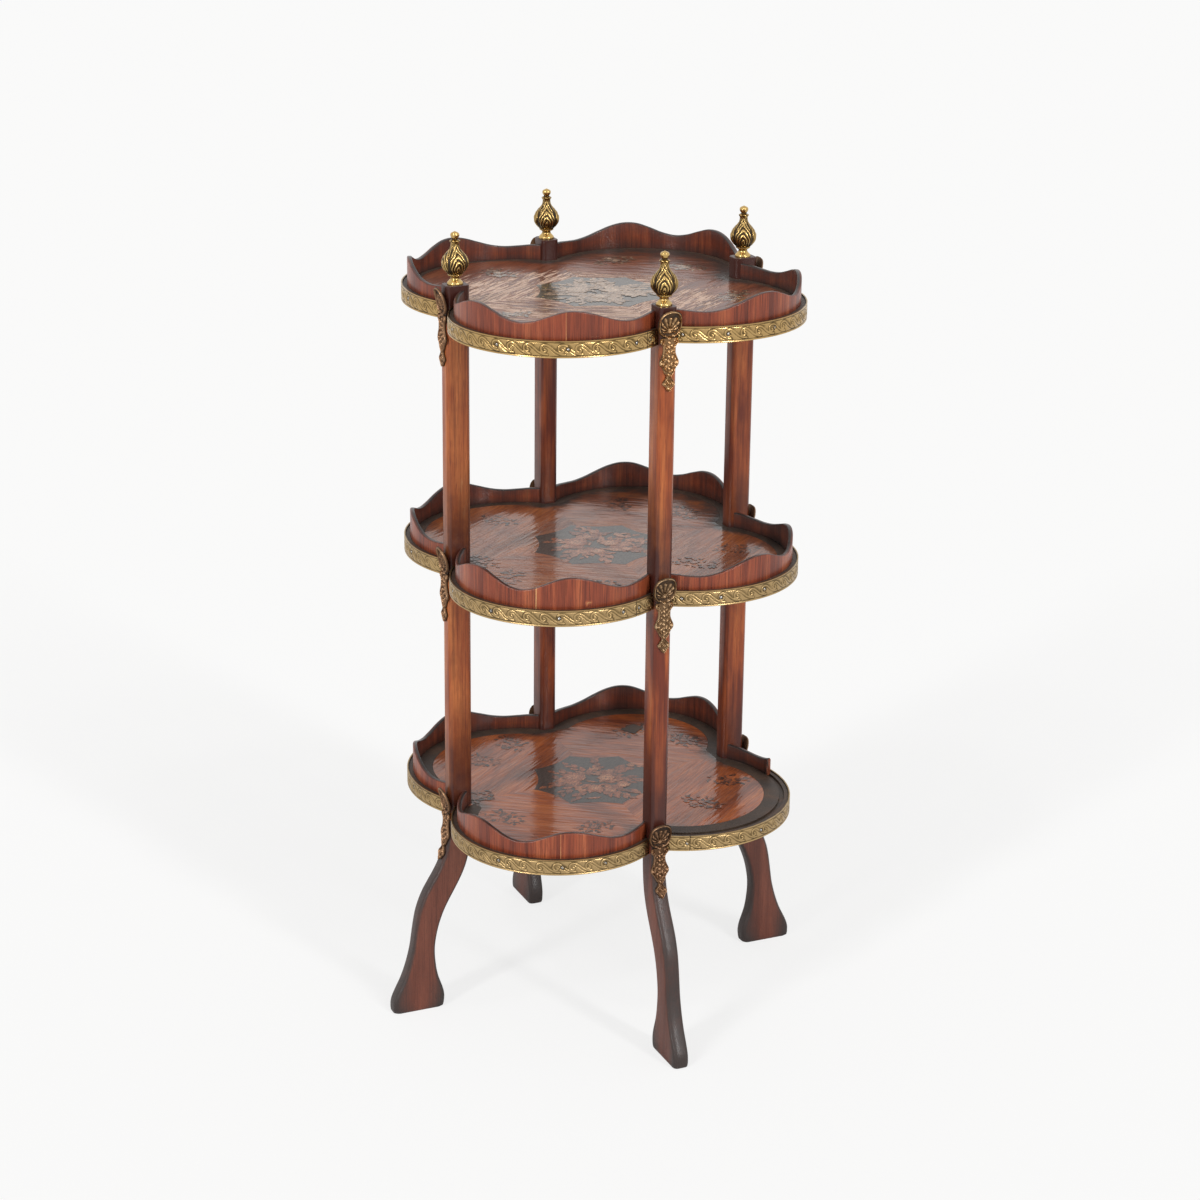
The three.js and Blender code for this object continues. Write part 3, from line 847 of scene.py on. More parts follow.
# %% Pins
PIN_LEVEL = 8 * MM
PIN_RINGS, PIN_SIDES = 5, 12


def steel_finish():
    finish = Finish("pin steel")
    patches = finish.noise(finish.spot(), 700.0, detail=3)
    colour = finish.ramp(patches, [(0.35, (96, 92, 88)), (0.6, (196, 194, 190))])
    finish.surface(Base_Color=colour, Metallic=1.0, Roughness=0.28)
    return finish.material


PIN_STEEL = steel_finish()


def make_pins(shelf):
    turn = np.linspace(0, TAU, PIN_SIDES, endpoint=False)
    lift = np.linspace(0, 0.97, PIN_RINGS) * np.pi / 2
    radius = PIN_RADIUS * np.cos(lift)[:, None]
    inset = RELIEF_DEPTH - PIN_HEIGHT * np.sin(lift)[:, None]
    heads = []
    for lobe_name, lobe in LOBES.items():
        for share in pins_of(shelf, lobe_name):
            angle = lobe.heading + share * lobe.span
            sideways = radius * np.cos(turn)
            x, y = on_lobe(lobe, share, inset)
            up = UNDERSIDE[shelf] + PIN_LEVEL + radius * np.sin(turn)
            heads.append(points_at(x - sideways * np.sin(angle), y + sideways * np.cos(angle), up))
    return piece(f"pins_{shelf}", heads, PIN_STEEL, "gilt_brass")


pins = [make_pins(shelf) for shelf in SHELVES]
print(len(pins), "sets of pins")

# %% [markdown]
# ## The corner mounts
#
# A mount is cast brass: a shield with a fan of ribs in a rim, and a pendant with a row of husks between
# curls and two raised edges, a bud and a trefoil. A curve through half widths at the photograph's scale
# gives the outline. Each kind of ornament is a height for every point: edges and ribs are lines, curls are
# rings, husks and balls are domes, and the relief is the greatest of them all. The back follows the CAD
# mount, down the post or the leg.

# %% Mount relief
MOUNT_HEIGHT = 78 * MM
MOUNT_RELIEF = 3.3 * MM
# The shield in millimetres: half width, half height, and how far its middle is below the top
OVAL = (12.2, 13.4, 13.4)
HINGE_DEPTH = 20.5
EDGE_HEIGHT = 0.3
# Millimetres down from the top and half the width there
MOUNT_OUTLINE = [
    (0, 3), (0.8, 6), (2.5, 8.6), (5.5, 10.9), (9, 12), (13, 12.3), (17, 12), (21, 10.6), (24, 8.6),
    (26.5, 7.8), (28, 9), (30, 9.6), (32, 8.8), (34.5, 6.8), (38, 6.4), (42, 7), (46, 8.6), (49.5, 10),
    (52, 9.7), (54.5, 7.8), (57, 6.2), (60.5, 4.6), (64, 2.4), (66.5, 4), (69, 6), (71.5, 6.2), (74, 4),
    (76.5, 2.4), (78, 0.9),
]
# Domes in millimetres: sideways, down from the top, half width, half height, height
DOMES = [
    (0, 27.2, 2.2, 1.5, 2.9), (8, 50.7, 1.9, 2, 3.2), (0, 55.8, 1.6, 1.8, 3.1), (0, 62.4, 1.2, 1.9, 2.6),
    (4.3, 70.6, 1.6, 1.7, 2.7), (0, 75.5, 1.5, 1.8, 2.7), (0, 69.6, 0.9, 0.9, 2.4),
    (7.2, 30.2, 0.8, 0.8, 2.8), (4.4, 24.4, 1.5, 1.1, 2.4), (0, 31.4, 1.3, 1.9, 2.7),
    (0, 35.8, 1.4, 1.8, 2.6), (0, 40.2, 1.5, 1.8, 2.6), (0, 44.6, 1.6, 1.8, 2.7), (0, 49, 1.7, 1.8, 2.8),
]
# Rings in millimetres: sideways, down from the top, radius, height
RINGS = [
    (7.2, 30.2, 1.9, 2.8), (3.7, 35.0, 1.5, 2.4), (4.0, 40.6, 1.7, 2.4), (5.0, 46.2, 1.8, 2.6),
    (4.2, 52.4, 1.7, 2.5), (0, 55.8, 3.4, 2.8), (0, 69.6, 2.1, 2.6),
]


def domes_over(x, down):
    """The greatest of the domes and rings at each point. Both sides match, so x loses its sign."""
    cx, cz, rx, rz, height = (np.array(column)[:, None, None] for column in zip(*DOMES))
    inside = 1 - ((np.abs(x)[None] - cx) / rx) ** 2 - ((down[None] - cz) / rz) ** 2
    domes = (height * np.sqrt(np.clip(inside, 0, 1))).max(axis=0)
    cx, cz, radius, height = (np.array(column)[:, None, None] for column in zip(*RINGS))
    from_ring = np.hypot(np.abs(x)[None] - cx, down[None] - cz) - radius
    return np.maximum(domes, (height * line(from_ring, 0.6)).max(axis=0))


def pendant_relief(x, half):
    """A raised edge along each side of a sunk ground."""
    return 1.0 + 1.8 * line(half - np.abs(x) - 0.8, 0.5)


def shield_relief(x, down):
    """Rim, ground and fan of the shield, 0 outside it. The fan's ribs spring from a hinge at its foot."""
    half_width, half_height, middle = OVAL
    out = (np.abs(x / half_width) ** 2.4 + np.abs((down - middle) / half_height) ** 2.4) ** (1 / 2.4)
    rim = 2.8 * line(out - 0.9, 0.055)
    from_hinge = np.hypot(x, down - HINGE_DEPTH)
    fan = np.arctan2(x, HINGE_DEPTH - down)
    ribs = np.abs(np.cos(7.5 * fan)) ** 1.5
    waves = 0.82 + 0.18 * np.cos(TAU * from_hinge / 4.2 + 3 * np.abs(fan))
    reach = 15.5 * (1 - 0.12 * np.cos(2 * fan)) + 0.8 * ribs
    plume = (0.1 + 2.0 * ribs * waves) * ease(reach - from_hinge, 0, 1.0) * ease(0.76 - out, 0, 0.05)
    plume = plume * (down < HINGE_DEPTH + 1.5)
    hinge = 2.4 * np.sqrt(np.clip(1 - (from_hinge / 1.9) ** 2, 0, 1))
    return np.where(out < 1.02, np.max([rim, plume, hinge, 0.1 + 0 * x], axis=0), 0)


def mount_half_width(down):
    """How far the ornament reaches sideways at each depth below its top."""
    depth, half = (np.array(column, float) for column in zip(*MOUNT_OUTLINE))
    return smooth_through(down, depth, half)


print("mount relief from", len(DOMES), "domes and", len(RINGS), "rings")

# %% Mounts
MOUNT_ROWS = 210
MOUNT_COLUMNS = 45


def mount_back(shelf, name):
    """Levels of the CAD mount and how far out its back lies at each."""
    out, _, up = from_corner(CORNERS[name], cad_points(f"{shelf}_{name}_mount"))
    levels, rows = by_level(up, out)
    return levels, np.array([row.min() for row in rows])


def make_mount(shelf, name):
    corner = CORNERS[name]
    metal = MOUNT_BRASS[shelf if name == "front_right" else "lower"]
    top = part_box(f"{shelf}_{name}_mount")[1].z
    down = np.linspace(0.05, MOUNT_HEIGHT / MM - 0.05, MOUNT_ROWS)
    side = np.sin(np.linspace(-np.pi / 2, np.pi / 2, MOUNT_COLUMNS))
    half = mount_half_width(down)[:, None]
    x = half * side
    depth = down[:, None] + 0 * x
    ground = np.where(depth < 2 * OVAL[1], shield_relief(x, depth), pendant_relief(x, half))
    at_edge = np.abs(side) > 0.999
    height = np.where(at_edge, EDGE_HEIGHT, np.maximum(ground, domes_over(x, depth)))
    levels, back = mount_back(shelf, name)
    up = top - down * MM
    seat = smooth_through(up, levels, back)[:, None]
    raised = np.clip(height * MM, EDGE_HEIGHT * MM, MOUNT_RELIEF)
    back_side = np.array([0.96, 0, -0.96])
    out = seat + np.hstack([raised, 0 * half * back_side])
    across = np.hstack([x, half * back_side]) * MM
    relief = np.hstack([ease(height, -0.8, 3.1), 0.45 + 0 * half * back_side])
    return piece(
        f"mount_{shelf}_{name}", at_corner(corner, out, across, up[:, None]), metal, "bronzed_brass",
        [f"{shelf}_{name}_mount"], smooth_angle=60, relief=relief,
    )


mounts = [make_mount(shelf, name) for shelf in SHELVES for name in CORNERS]
print(len(mounts), "mounts of", len(mounts[0].data.polygons), "faces")

# %% [markdown]
# ## The finials
#
# The finials are turned first and then chased. The turning is the CAD profile, the radius at each height,
# smoothed. The chasing is four leaves round the bulb, each a set of nested drops with a dark eye near the
# bottom: a drop's outline is a distance that is stretched upwards, and the ridges are a cosine of it.

# %% Finials
FINIAL_ROWS = 170
FINIAL_COLUMNS = 176
FINIAL_LEAVES = 4
CHASING_DEPTH = 0.8 * MM
# Millimetres round the bulb for each radian, up it for its whole height, and between two ridges
BULB_RADIUS, FINIAL_HEIGHT, RIDGE_PITCH = 13.2, 51.3, 2.8
EYE_SHARE = 0.285


def finial_profile(name):
    out, across, up = from_corner(CORNERS[name], cad_points(f"{name}_finial"))
    levels, rows = by_level(up, np.hypot(out, across))
    keep = levels > POST_TOP
    return levels[keep], np.array([row.max() for row in rows])[keep]


def leaf_relief(turn, share):
    """Nested drops round the eye of each leaf; share runs up the finial. Distances are in millimetres on the
    bulb, and the distance upwards counts for less, which draws the drops out to a point."""
    leaf = turn / TAU * FINIAL_LEAVES + 0.5
    across = (leaf % 1 - 0.5) * TAU / FINIAL_LEAVES * BULB_RADIUS
    up = (share - EYE_SHARE) * FINIAL_HEIGHT
    stretched = np.where(up > 0, up / 1.9, up * 1.1)
    power = np.where(up > 0, 1.6, 2.0)
    drop = (np.abs(across) ** power + np.abs(stretched) ** power) ** (1 / power)
    drop = drop + 0.2 * np.sin(0.8 * up + 2 * np.floor(leaf)) * np.sign(across)
    lines = (0.5 + 0.5 * np.cos(TAU * drop / RIDGE_PITCH)) ** 1.2
    lines = np.maximum(lines, ease(-np.abs(across), -7.5, -10.2) * (share > 0.2))
    on_bulb = ease(share, 0.17, 0.2) * (1 - ease(share, 0.74, 0.8))
    return 1 - on_bulb * lines


def make_finial(name):
    corner = CORNERS[name]
    levels, reach = finial_profile(name)
    share = np.linspace(0, 1, FINIAL_ROWS)[:, None]
    up = levels[0] + share * (levels[-1] - levels[0])
    radius = np.maximum(smooth_through(up, levels, reach), 0.4 * MM)
    turn = np.linspace(0, TAU, FINIAL_COLUMNS, endpoint=False)
    facing = math.radians(STICKS[name].eye_facing) - corner.turn
    relief = leaf_relief(turn - facing, share)
    shaped = radius - CHASING_DEPTH * (1 - relief) * radius / reach.max()
    grids = at_corner(corner, shaped * np.cos(turn), shaped * np.sin(turn), up)
    necks = line(share - 0.855, 0.02) + 0.5 * line(share - 0.115, 0.03)
    twist = line(share - 0.815, 0.035) * (0.5 + 0.5 * np.sin(7 * turn + 90 * share))
    relief = relief * (1 - 0.85 * necks) * (1 - 0.8 * twist)
    return piece(
        f"finial_{name}", grids, FINIAL_BRASS, "gilt_brass", [f"{name}_finial"],
        smooth_angle=60, relief=relief,
    )


finials = [make_finial(name) for name in CORNERS]
print(len(finials), "finials")

# %% [markdown]
# ## Shelf boards and dowels
#
# The boards keep their CAD meshes. Their tops show as a black stained margin round the veneer, dusty and
# half worn to brown, so their finish is a dark wood with pale dust in patches, all in object coordinates.
# The dowels are hidden in their joints, and only get a plain pale wood.

# %% Boards and dowels
def margin_finish():
    finish = Finish("ebonised margin")
    spot = finish.spot()
    wear = finish.noise(spot, 34.0, detail=7, roughness=0.7)
    fine = finish.noise(finish.place(spot, (1, 1, 0.2)), 900.0, detail=3)
    colour = finish.ramp(wear, [(0.3, (50, 40, 34)), (0.55, (76, 61, 51)), (0.8, (112, 80, 60))])
    colour = finish.darken(colour, 0.5, fine, 0.3, (110, 105, 100), 0.7)
    dust = finish.noise(spot, 520.0, detail=4, roughness=0.8)
    colour = finish.mix(finish.times(finish.fade(dust, 0.56, 0.72), 0.3), colour, (150, 132, 116))
    finish.surface(Base_Color=colour, Roughness=finish.span(wear, 0.42, 0.62), Specular_IOR_Level=0.28)
    finish.surface(Normal=finish.bump(fine, 0.2, BUMP_DEPTH))
    return finish.material


def dowel_finish():
    finish = Finish("dowel beech")
    fibres = finish.noise(finish.place(finish.spot(), (1, 1, 0.05)), 900.0, detail=3)
    colour = finish.ramp(fibres, [(0.3, (160, 128, 84)), (0.7, (204, 174, 128))])
    finish.surface(Base_Color=colour, Roughness=0.7)
    return finish.material


MARGIN = margin_finish()
BEECH = dowel_finish()


def refinish(node, material):
    """Gives a CAD node a new material and leaves its mesh alone."""
    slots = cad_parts[node].data.materials
    slots.clear()
    slots.append(material)


for shelf in SHELVES:
    refinish(f"{shelf}_shelf_board", MARGIN)
for name in CORNERS:
    refinish(f"{name}_leg_dowel", BEECH)
print("boards and dowels have their finishes")

# %% [markdown]
# ## The veneered fields
#
# Inside the margin lies a quatrefoil sheet of veneer. Four wedges of grain meet on the diagonals: in the
# end lobes the grain runs front to back, in the side lobes it runs across, each a little askew. The sheet is
# worked out in polar form, each ray ending where it leaves the last of the four discs. Varnish over it lies
# in fine ripples along the grain, which is what breaks up the reflections of the posts.

# %% Veneer finish
WEDGE_SLOPE = post_y / post_x
END_GRAIN_TURN = math.radians(6)
SIDE_GRAIN_TURN = math.radians(80)


def wedge_grain(finish):
    """Grain coordinates of a quartered sheet, from object coordinates: one turn of the pattern in the end
    lobes and another in the side lobes."""
    spot = finish.spot()
    axes = [finish.node("SeparateXYZ", {0: spot}, output=axis) for axis in (0, 1)]
    along_x, along_y = (finish.math("ABSOLUTE", value) for value in axes)
    in_end = finish.math("GREATER_THAN", finish.times(along_x, WEDGE_SLOPE), along_y)
    end = finish.place(spot, turn=END_GRAIN_TURN)
    side = finish.place(spot, turn=SIDE_GRAIN_TURN, shift=(0.31, 0.17, 0))
    return spot, finish.node("Mix", {0: in_end, 4: side, 5: end}, output=1, data_type="VECTOR")


WEAR_SHIFT = (0.0, 0.045, 0.0)  # the worn part of the top lies towards its front
VARNISH = {"Specular_IOR_Level": 0.12, "Coat_IOR": 1.28}


def veneer_finish(name, palette, worn):
    """Quartered veneer under varnish. worn, 0 to 1, is how much of the varnish has gone pale."""
    finish = Finish(name)
    spot, grain = wedge_grain(finish)
    broad = finish.noise(finish.place(grain, (1, 0.2, 1)), 50.0, detail=6, roughness=0.65, distortion=0.4)
    colour = finish.ramp(broad, [(0.3, palette.dark), (0.5, palette.middle), (0.72, palette.light)])
    streaks = finish.noise(finish.place(grain, (1, 0.05, 1)), 600.0, detail=4, roughness=0.7)
    colour = finish.darken(colour, 0.6, streaks, 0.36, (120, 96, 88), 0.56)
    patch = finish.noise(spot, 16.0, detail=4, roughness=0.6)
    from_wear = finish.place(spot, (1, 1.25, 0), shift=WEAR_SHIFT)
    reach = finish.node("VectorMath", {0: from_wear}, output=1, operation="LENGTH")
    patch = finish.minus(patch, finish.fade(reach, 0.115, 0.23))
    strokes = finish.noise(finish.place(grain, (1, 0.09, 1)), 260.0, detail=4, roughness=0.7, distortion=0.9)
    bare = finish.plus(strokes, finish.times(patch, 0.42))
    gaps = finish.noise(finish.place(grain, (1, 0.1, 1)), 400.0, detail=2, roughness=0.6, distortion=0.6)
    bare = finish.times(finish.fade(bare, 0.67, 0.7), finish.fade(gaps, 0.42, 0.46))
    bare = finish.times(bare, worn)
    colour = finish.mix(finish.times(bare, 0.95), colour, (212, 178, 156))
    flecks = finish.noise(finish.place(grain, (1, 0.13, 1)), 950.0, detail=3, roughness=0.7)
    colour = finish.mix(finish.times(finish.fade(flecks, 0.58, 0.68), 0.5), colour, palette.dark)
    # Dirt in patches, with the field's painted shade and dirt round the posts and its darkening at the edge
    # and the back
    smuts_and_shade = finish.times(finish.noise(spot, 75.0, detail=5), 0.9)
    smuts_and_shade = finish.plus(finish.attribute("soil"), smuts_and_shade)
    colour = finish.mix(finish.fade(smuts_and_shade, 0.72, 1.3), colour, (52, 45, 40))
    ripples = finish.noise(finish.place(grain, (1, 0.14, 1)), 190.0, detail=1, distortion=0.3)
    height = finish.plus(ripples, finish.times(bare, 0.6))
    bumped = finish.bump(height, 0.8, 0.7 * MM)
    finish.surface(Base_Color=colour, Roughness=finish.span(bare, 0.3, 0.6), Normal=bumped, **VARNISH)
    finish.surface(Coat_Weight=0.85 - 0.4 * worn, Coat_Roughness=0.09, Coat_Normal=bumped)
    return finish.material


RICH = Palette((110, 50, 24), (162, 84, 40), (190, 110, 56))
BROWN = Palette((102, 48, 24), (152, 82, 40), (180, 108, 60))
FADED = Palette((84, 41, 24), (120, 65, 40), (148, 90, 59))
FIELD_FINISH = {
    "lower": veneer_finish("lower veneer", RICH, 0.0),
    "middle": veneer_finish("middle veneer", BROWN, 0.15),
    "top": veneer_finish("top veneer", FADED, 1.0),
}

# %% Fields
FIELD_RAYS = 288
FIELD_RINGS = 30
# Painted shade and dirt round each post's foot on the field: full up to the first distance from its axis,
# dying away over the second
POST_DARKENING, POST_DARKENING_FALL = 14 * MM, 17 * MM
FAR_DARKENING = {"lower": 0.0, "middle": 0.5, "top": 0.6}  # darker towards the back


def quatrefoil_reach(turn, inset):
    """Distance from the middle to the outline in each direction: the farthest exit from the four discs."""
    ray = np.stack([np.cos(turn), np.sin(turn)])
    reach = np.zeros_like(turn)
    for lobe in LOBES.values():
        ahead = lobe.x * ray[0] + lobe.y * ray[1]
        aside = lobe.x * ray[1] - lobe.y * ray[0]
        room = (lobe.radius - inset) ** 2 - aside**2
        reach = np.maximum(reach, np.where(room > 0, ahead + np.sqrt(np.clip(room, 0, None)), 0))
    return reach


def outline_reach(turn, points):
    """The same distance to the straight edges between the outermost vertices of a CAD node."""
    edge = points[np.hypot(points[:, 0], points[:, 1]) > 60 * MM][:, :2]
    edge = edge[np.argsort(np.arctan2(edge[:, 1], edge[:, 0]) % TAU)]
    angle = np.arctan2(edge[:, 1], edge[:, 0]) % TAU
    after = np.searchsorted(angle, turn % TAU) % len(edge)
    (ax, ay), (bx, by) = edge[after - 1].T, edge[after].T
    return (ax * by - ay * bx) / (np.cos(turn) * (by - ay) - np.sin(turn) * (bx - ax))


def make_field(shelf):
    node = f"{shelf}_shelf_field"
    low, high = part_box(node)
    turn = np.linspace(0, TAU, FIELD_RAYS, endpoint=False)
    inset = LOBES["right"].x + LOBES["right"].radius - high.x
    corner_edges = outline_reach(turn + 0.0003, cad_points(node))
    reach = np.maximum(quatrefoil_reach(turn, inset), corner_edges)
    share = np.concatenate([[0.01, 1.0], np.linspace(1, 0.01, FIELD_RINGS)])[:, None]
    level = np.concatenate([[low.z, low.z], np.full(FIELD_RINGS, high.z)])[:, None]
    x, y = share * reach * np.cos(turn), share * reach * np.sin(turn)
    from_post = np.min([np.hypot(x - c.x, y - c.y) for c in CORNERS.values()], axis=0)
    # Painted shade and dirt round the posts, and darker along the edge and towards the back
    soil = 0.85 * fall(from_post - POST_DARKENING, POST_DARKENING_FALL) + 0.28 * ease(share, 0.86, 1)
    soil = soil + FAR_DARKENING[shelf] * ease(y, 70 * MM, 190 * MM)
    return piece(
        f"field_{shelf}", points_at(x, y, level), FIELD_FINISH[shelf], "marquetry", [node],
        smooth_angle=30, soil=soil,
    )


fields = [make_field(shelf) for shelf in SHELVES]
print(len(fields), "fields")

# %% [markdown]
# ## The inlay
#
# In the middle of each field is an eight-pointed cartouche of grey wood with hollow sides, filled with
# flowers and leaves, and smaller sprays lie in the lobes. Inlay is cut from sheets, so each leaf here is its
# own small sheet, a hair above its ground. One parameter runs along the midrib, which bends evenly, and the
# other across it, with a half width that swells and tapers. Sprigs and rosettes are rows of such leaves,
# drawn with a seeded generator so that they come out the same each time.

# %% Inlay shapes
INLAY_LIFT = 0.06 * MM
CARTOUCHE_RADIUS = 69 * MM
CARTOUCHE_WAIST = 0.86
CARTOUCHE_CENTRE = (0.0, -4 * MM)
CARTOUCHE_RAYS, CARTOUCHE_RINGS = 321, 14
LEAF_ROWS = 11
LEAF_COLUMNS = 5

Leaves = namedtuple("Leaves", "x y heading length width bend tint")


def leaf_patches(leaves, level):
    """Grids for many leaves at once, and the tint and shading of their points."""
    u = np.linspace(0, 1, LEAF_ROWS)[None, :, None]
    v = np.linspace(-1, 1, LEAF_COLUMNS)[None, None]
    x, y, heading, length, width, bend, tint = (np.asarray(c, float)[:, None, None] for c in leaves)
    middle_turn = heading + bend * u / 2
    turn = heading + bend * u
    half = width / 2 * np.sin(np.pi * u**0.75) * (1 + 0.2 * np.cos(TAU * 3 * u)) + 0.05 * MM
    px = x + length * u * np.cos(middle_turn) - v * half * np.sin(turn)
    py = y + length * u * np.sin(middle_turn) + v * half * np.cos(turn)
    return points_at(px, py, level), tint + 0 * px, 1 - 0.6 * u * (1 - 0.4 * np.abs(v)) + 0 * px


def joined(groups):
    """Several sets of leaves as one."""
    return Leaves(*(np.concatenate(columns) for columns in zip(*groups)))


def rosette(x, y, radius, petals, tint, turned=0.0):
    """A flower seen from above: two rings of petals."""
    petal = np.arange(petals)
    turn = np.concatenate([petal, petal + 0.5]) * TAU / petals + turned
    length = np.repeat([radius * 0.85, radius * 0.5], petals)
    back = radius * 0.12
    return Leaves(
        x - back * np.cos(turn), y - back * np.sin(turn), turn, length + back, length * 0.8, 0.35 + 0 * turn,
        tint + 0.25 * (length < radius * 0.6),
    )


def sprig(rng, x, y, heading, reach, bend, count, tint):
    """A bending stem with leaves on both sides, which shorten towards its tip, and a leaf at the tip."""
    u = np.linspace(0.12, 1, count)
    side = np.where(np.arange(count) % 2, 1.0, -1.0)
    side[-1] = 0
    middle_turn = heading + bend * u / 2
    length = reach * (0.42 - 0.2 * u) * rng.uniform(0.8, 1.2, count)
    stem = Leaves(*(np.array([value]) for value in (x, y, heading, reach, 1.3 * MM, bend, tint + 0.1)))
    blades = Leaves(
        x + reach * u * np.cos(middle_turn), y + reach * u * np.sin(middle_turn),
        heading + bend * u + side * rng.uniform(0.5, 0.9, count), length,
        length * rng.uniform(0.42, 0.62, count), side * rng.uniform(-0.9, -0.3, count),
        tint + rng.uniform(-0.15, 0.15, count),
    )
    return joined([stem, blades])


print("inlay shapes are ready")

# %% Inlay finishes
def inlay_finish(name, stops, ground):
    """Dyed and natural veneers under varnish: the tint picks the wood, and shade darkens it towards the
    base of each leaf, as hot sand does."""
    finish = Finish(name)
    spot = finish.spot()
    fibres = finish.noise(finish.place(spot, (1, 0.25, 1), turn=0.6), 700.0, detail=3)
    blotch = finish.noise(spot, 90.0, detail=4, roughness=0.6)
    uneven = finish.times(finish.minus(blotch, 0.5), 0.5)
    colour = finish.ramp(finish.plus(finish.attribute("tint"), uneven), stops)
    base = finish.fade(finish.attribute("shade"), 0.86, 1.0)
    colour = finish.mix(finish.times(base, 0.45), colour, ground)
    colour = finish.darken(colour, 0.65, fibres, 0.35, (130, 120, 112), 0.6)
    cracks = finish.noise(spot, 430.0, detail=5, roughness=0.8, distortion=0.6)
    colour = finish.darken(colour, 0.7, cracks, 0.4, (95, 88, 82), 0.5)
    ripples = finish.noise(finish.place(spot, (1, 0.3, 1), turn=0.3), 240.0, detail=3, distortion=0.4)
    bumped = finish.bump(ripples, 0.35, 0.4 * MM)
    finish.surface(Base_Color=colour, Roughness=0.35, Normal=bumped, **VARNISH)
    finish.surface(Coat_Weight=0.85, Coat_Roughness=0.1, Coat_Normal=bumped)
    return finish.material


GROUND_TONES = {
    "lower": [(0.2, (46, 39, 34)), (0.8, (86, 73, 64))],
    "middle": [(0.2, (54, 48, 43)), (0.8, (100, 90, 80))],
    "top": [(0.3, (42, 36, 29)), (0.7, (90, 79, 65))],
}
LEAF_TONES = {
    "lower": [(0.0, (46, 36, 30)), (0.5, (158, 88, 54)), (0.95, (198, 136, 96))],
    "middle": [(0.0, (46, 38, 32)), (0.5, (172, 104, 72)), (0.95, (214, 158, 124))],
    "top": [(0.1, (108, 91, 74)), (0.45, (178, 145, 117)), (0.95, (206, 175, 145))],
}


def inlay_finishes(label, tones):
    """One finish for each shelf, darkened with the first of that shelf's ground tones."""
    return {
        shelf: inlay_finish(f"{shelf} inlay {label}", stops, GROUND_TONES[shelf][0][1])
        for shelf, stops in tones.items()
    }


INLAY_GROUND = inlay_finishes("ground", GROUND_TONES)
INLAY_LEAF = inlay_finishes("leaves", LEAF_TONES)
print(len(INLAY_GROUND) + len(INLAY_LEAF), "inlay finishes")


# %% Inlay
def cartouche_reach(turn):
    """Eight points with hollow sides between them."""
    between = np.abs((turn / (TAU / 8) + 0.5) % 1 - 0.5) * 2
    return CARTOUCHE_RADIUS * (1 - (1 - CARTOUCHE_WAIST) * np.sin(between * np.pi / 2) ** 0.8)


def make_cartouche(shelf):
    turn = np.linspace(0, TAU, CARTOUCHE_RAYS)
    reach = np.linspace(0.0, 1, CARTOUCHE_RINGS)[:, None] * cartouche_reach(turn)
    x = CARTOUCHE_CENTRE[0] + reach * np.cos(turn)
    y = CARTOUCHE_CENTRE[1] + reach * np.sin(turn)
    return piece(
        f"cartouche_{shelf}", points_at(x, y, TABLE_TOP[shelf] + INLAY_LIFT), INLAY_GROUND[shelf],
        "marquetry", sheet=True, tint=0.5 + 0 * x, shade=0 * x,
    )


# Flowers of a cartouche: x, y and radius in millimetres, petals, tint and turn
FLOWERS = [
    (-23, -3, 16, 9, 0.5, 0), (9, 9, 13, 6, 0.7, 0.4), (8, -20, 11, 7, 0.6, 0.2), (32, -2, 9, 6, 0.65, 0)
]


def bouquet(shelf):
    """The flowers and leaves of the cartouche: a ring of sprigs, loose leaves between them, and flowers."""
    rng = np.random.default_rng(SHELVES.index(shelf) + 11)
    cx, cy = CARTOUCHE_CENTRE
    groups = []
    count, leaves, spare = (17, 9, 70) if shelf == "top" else (11, 7, 34)
    for heading in np.arange(count) * TAU / count + 0.2:
        start = rng.uniform(4, 12) * MM
        x, y = cx + start * math.cos(heading), cy + start * math.sin(heading)
        reach, bend = rng.uniform(36, 50) * MM, rng.uniform(-1.1, 1.1)
        groups.append(sprig(rng, x, y, heading, reach, bend, leaves, 0.5))
    loose, away = rng.uniform(0, TAU, spare), rng.uniform(10, 50, spare) * MM
    groups.append(Leaves(
        cx + away * np.cos(loose), cy + away * np.sin(loose), rng.uniform(0, TAU, spare),
        rng.uniform(9, 20, spare) * MM, rng.uniform(3, 8, spare) * MM, rng.uniform(-1, 1, spare),
        rng.uniform(0.25, 0.8, spare),
    ))
    for x, y, radius, petals, tint, turned in FLOWERS:
        groups.append(rosette(cx + x * MM, cy + y * MM, radius * MM, petals, tint, turned))
    return joined(groups)


SPRAY_LEAVES = 52
# Middles of the small sprays, in millimetres
SPRAYS = {
    "lower": [
        (-49, -130), (43, -118), (-14, 139), (48, 135), (122, -17), (128, 48), (-132, -2), (-118, 53),
        (-95, -98),
    ],
    "middle": [
        (131, 38), (44, 130), (-43, -132), (-87, -100), (109, -20), (59, -126), (-124, 30), (-30, 132),
    ],
    "top": [(124, 34), (40, 132), (-43, -128), (-124, 30), (-36, 130)],
}


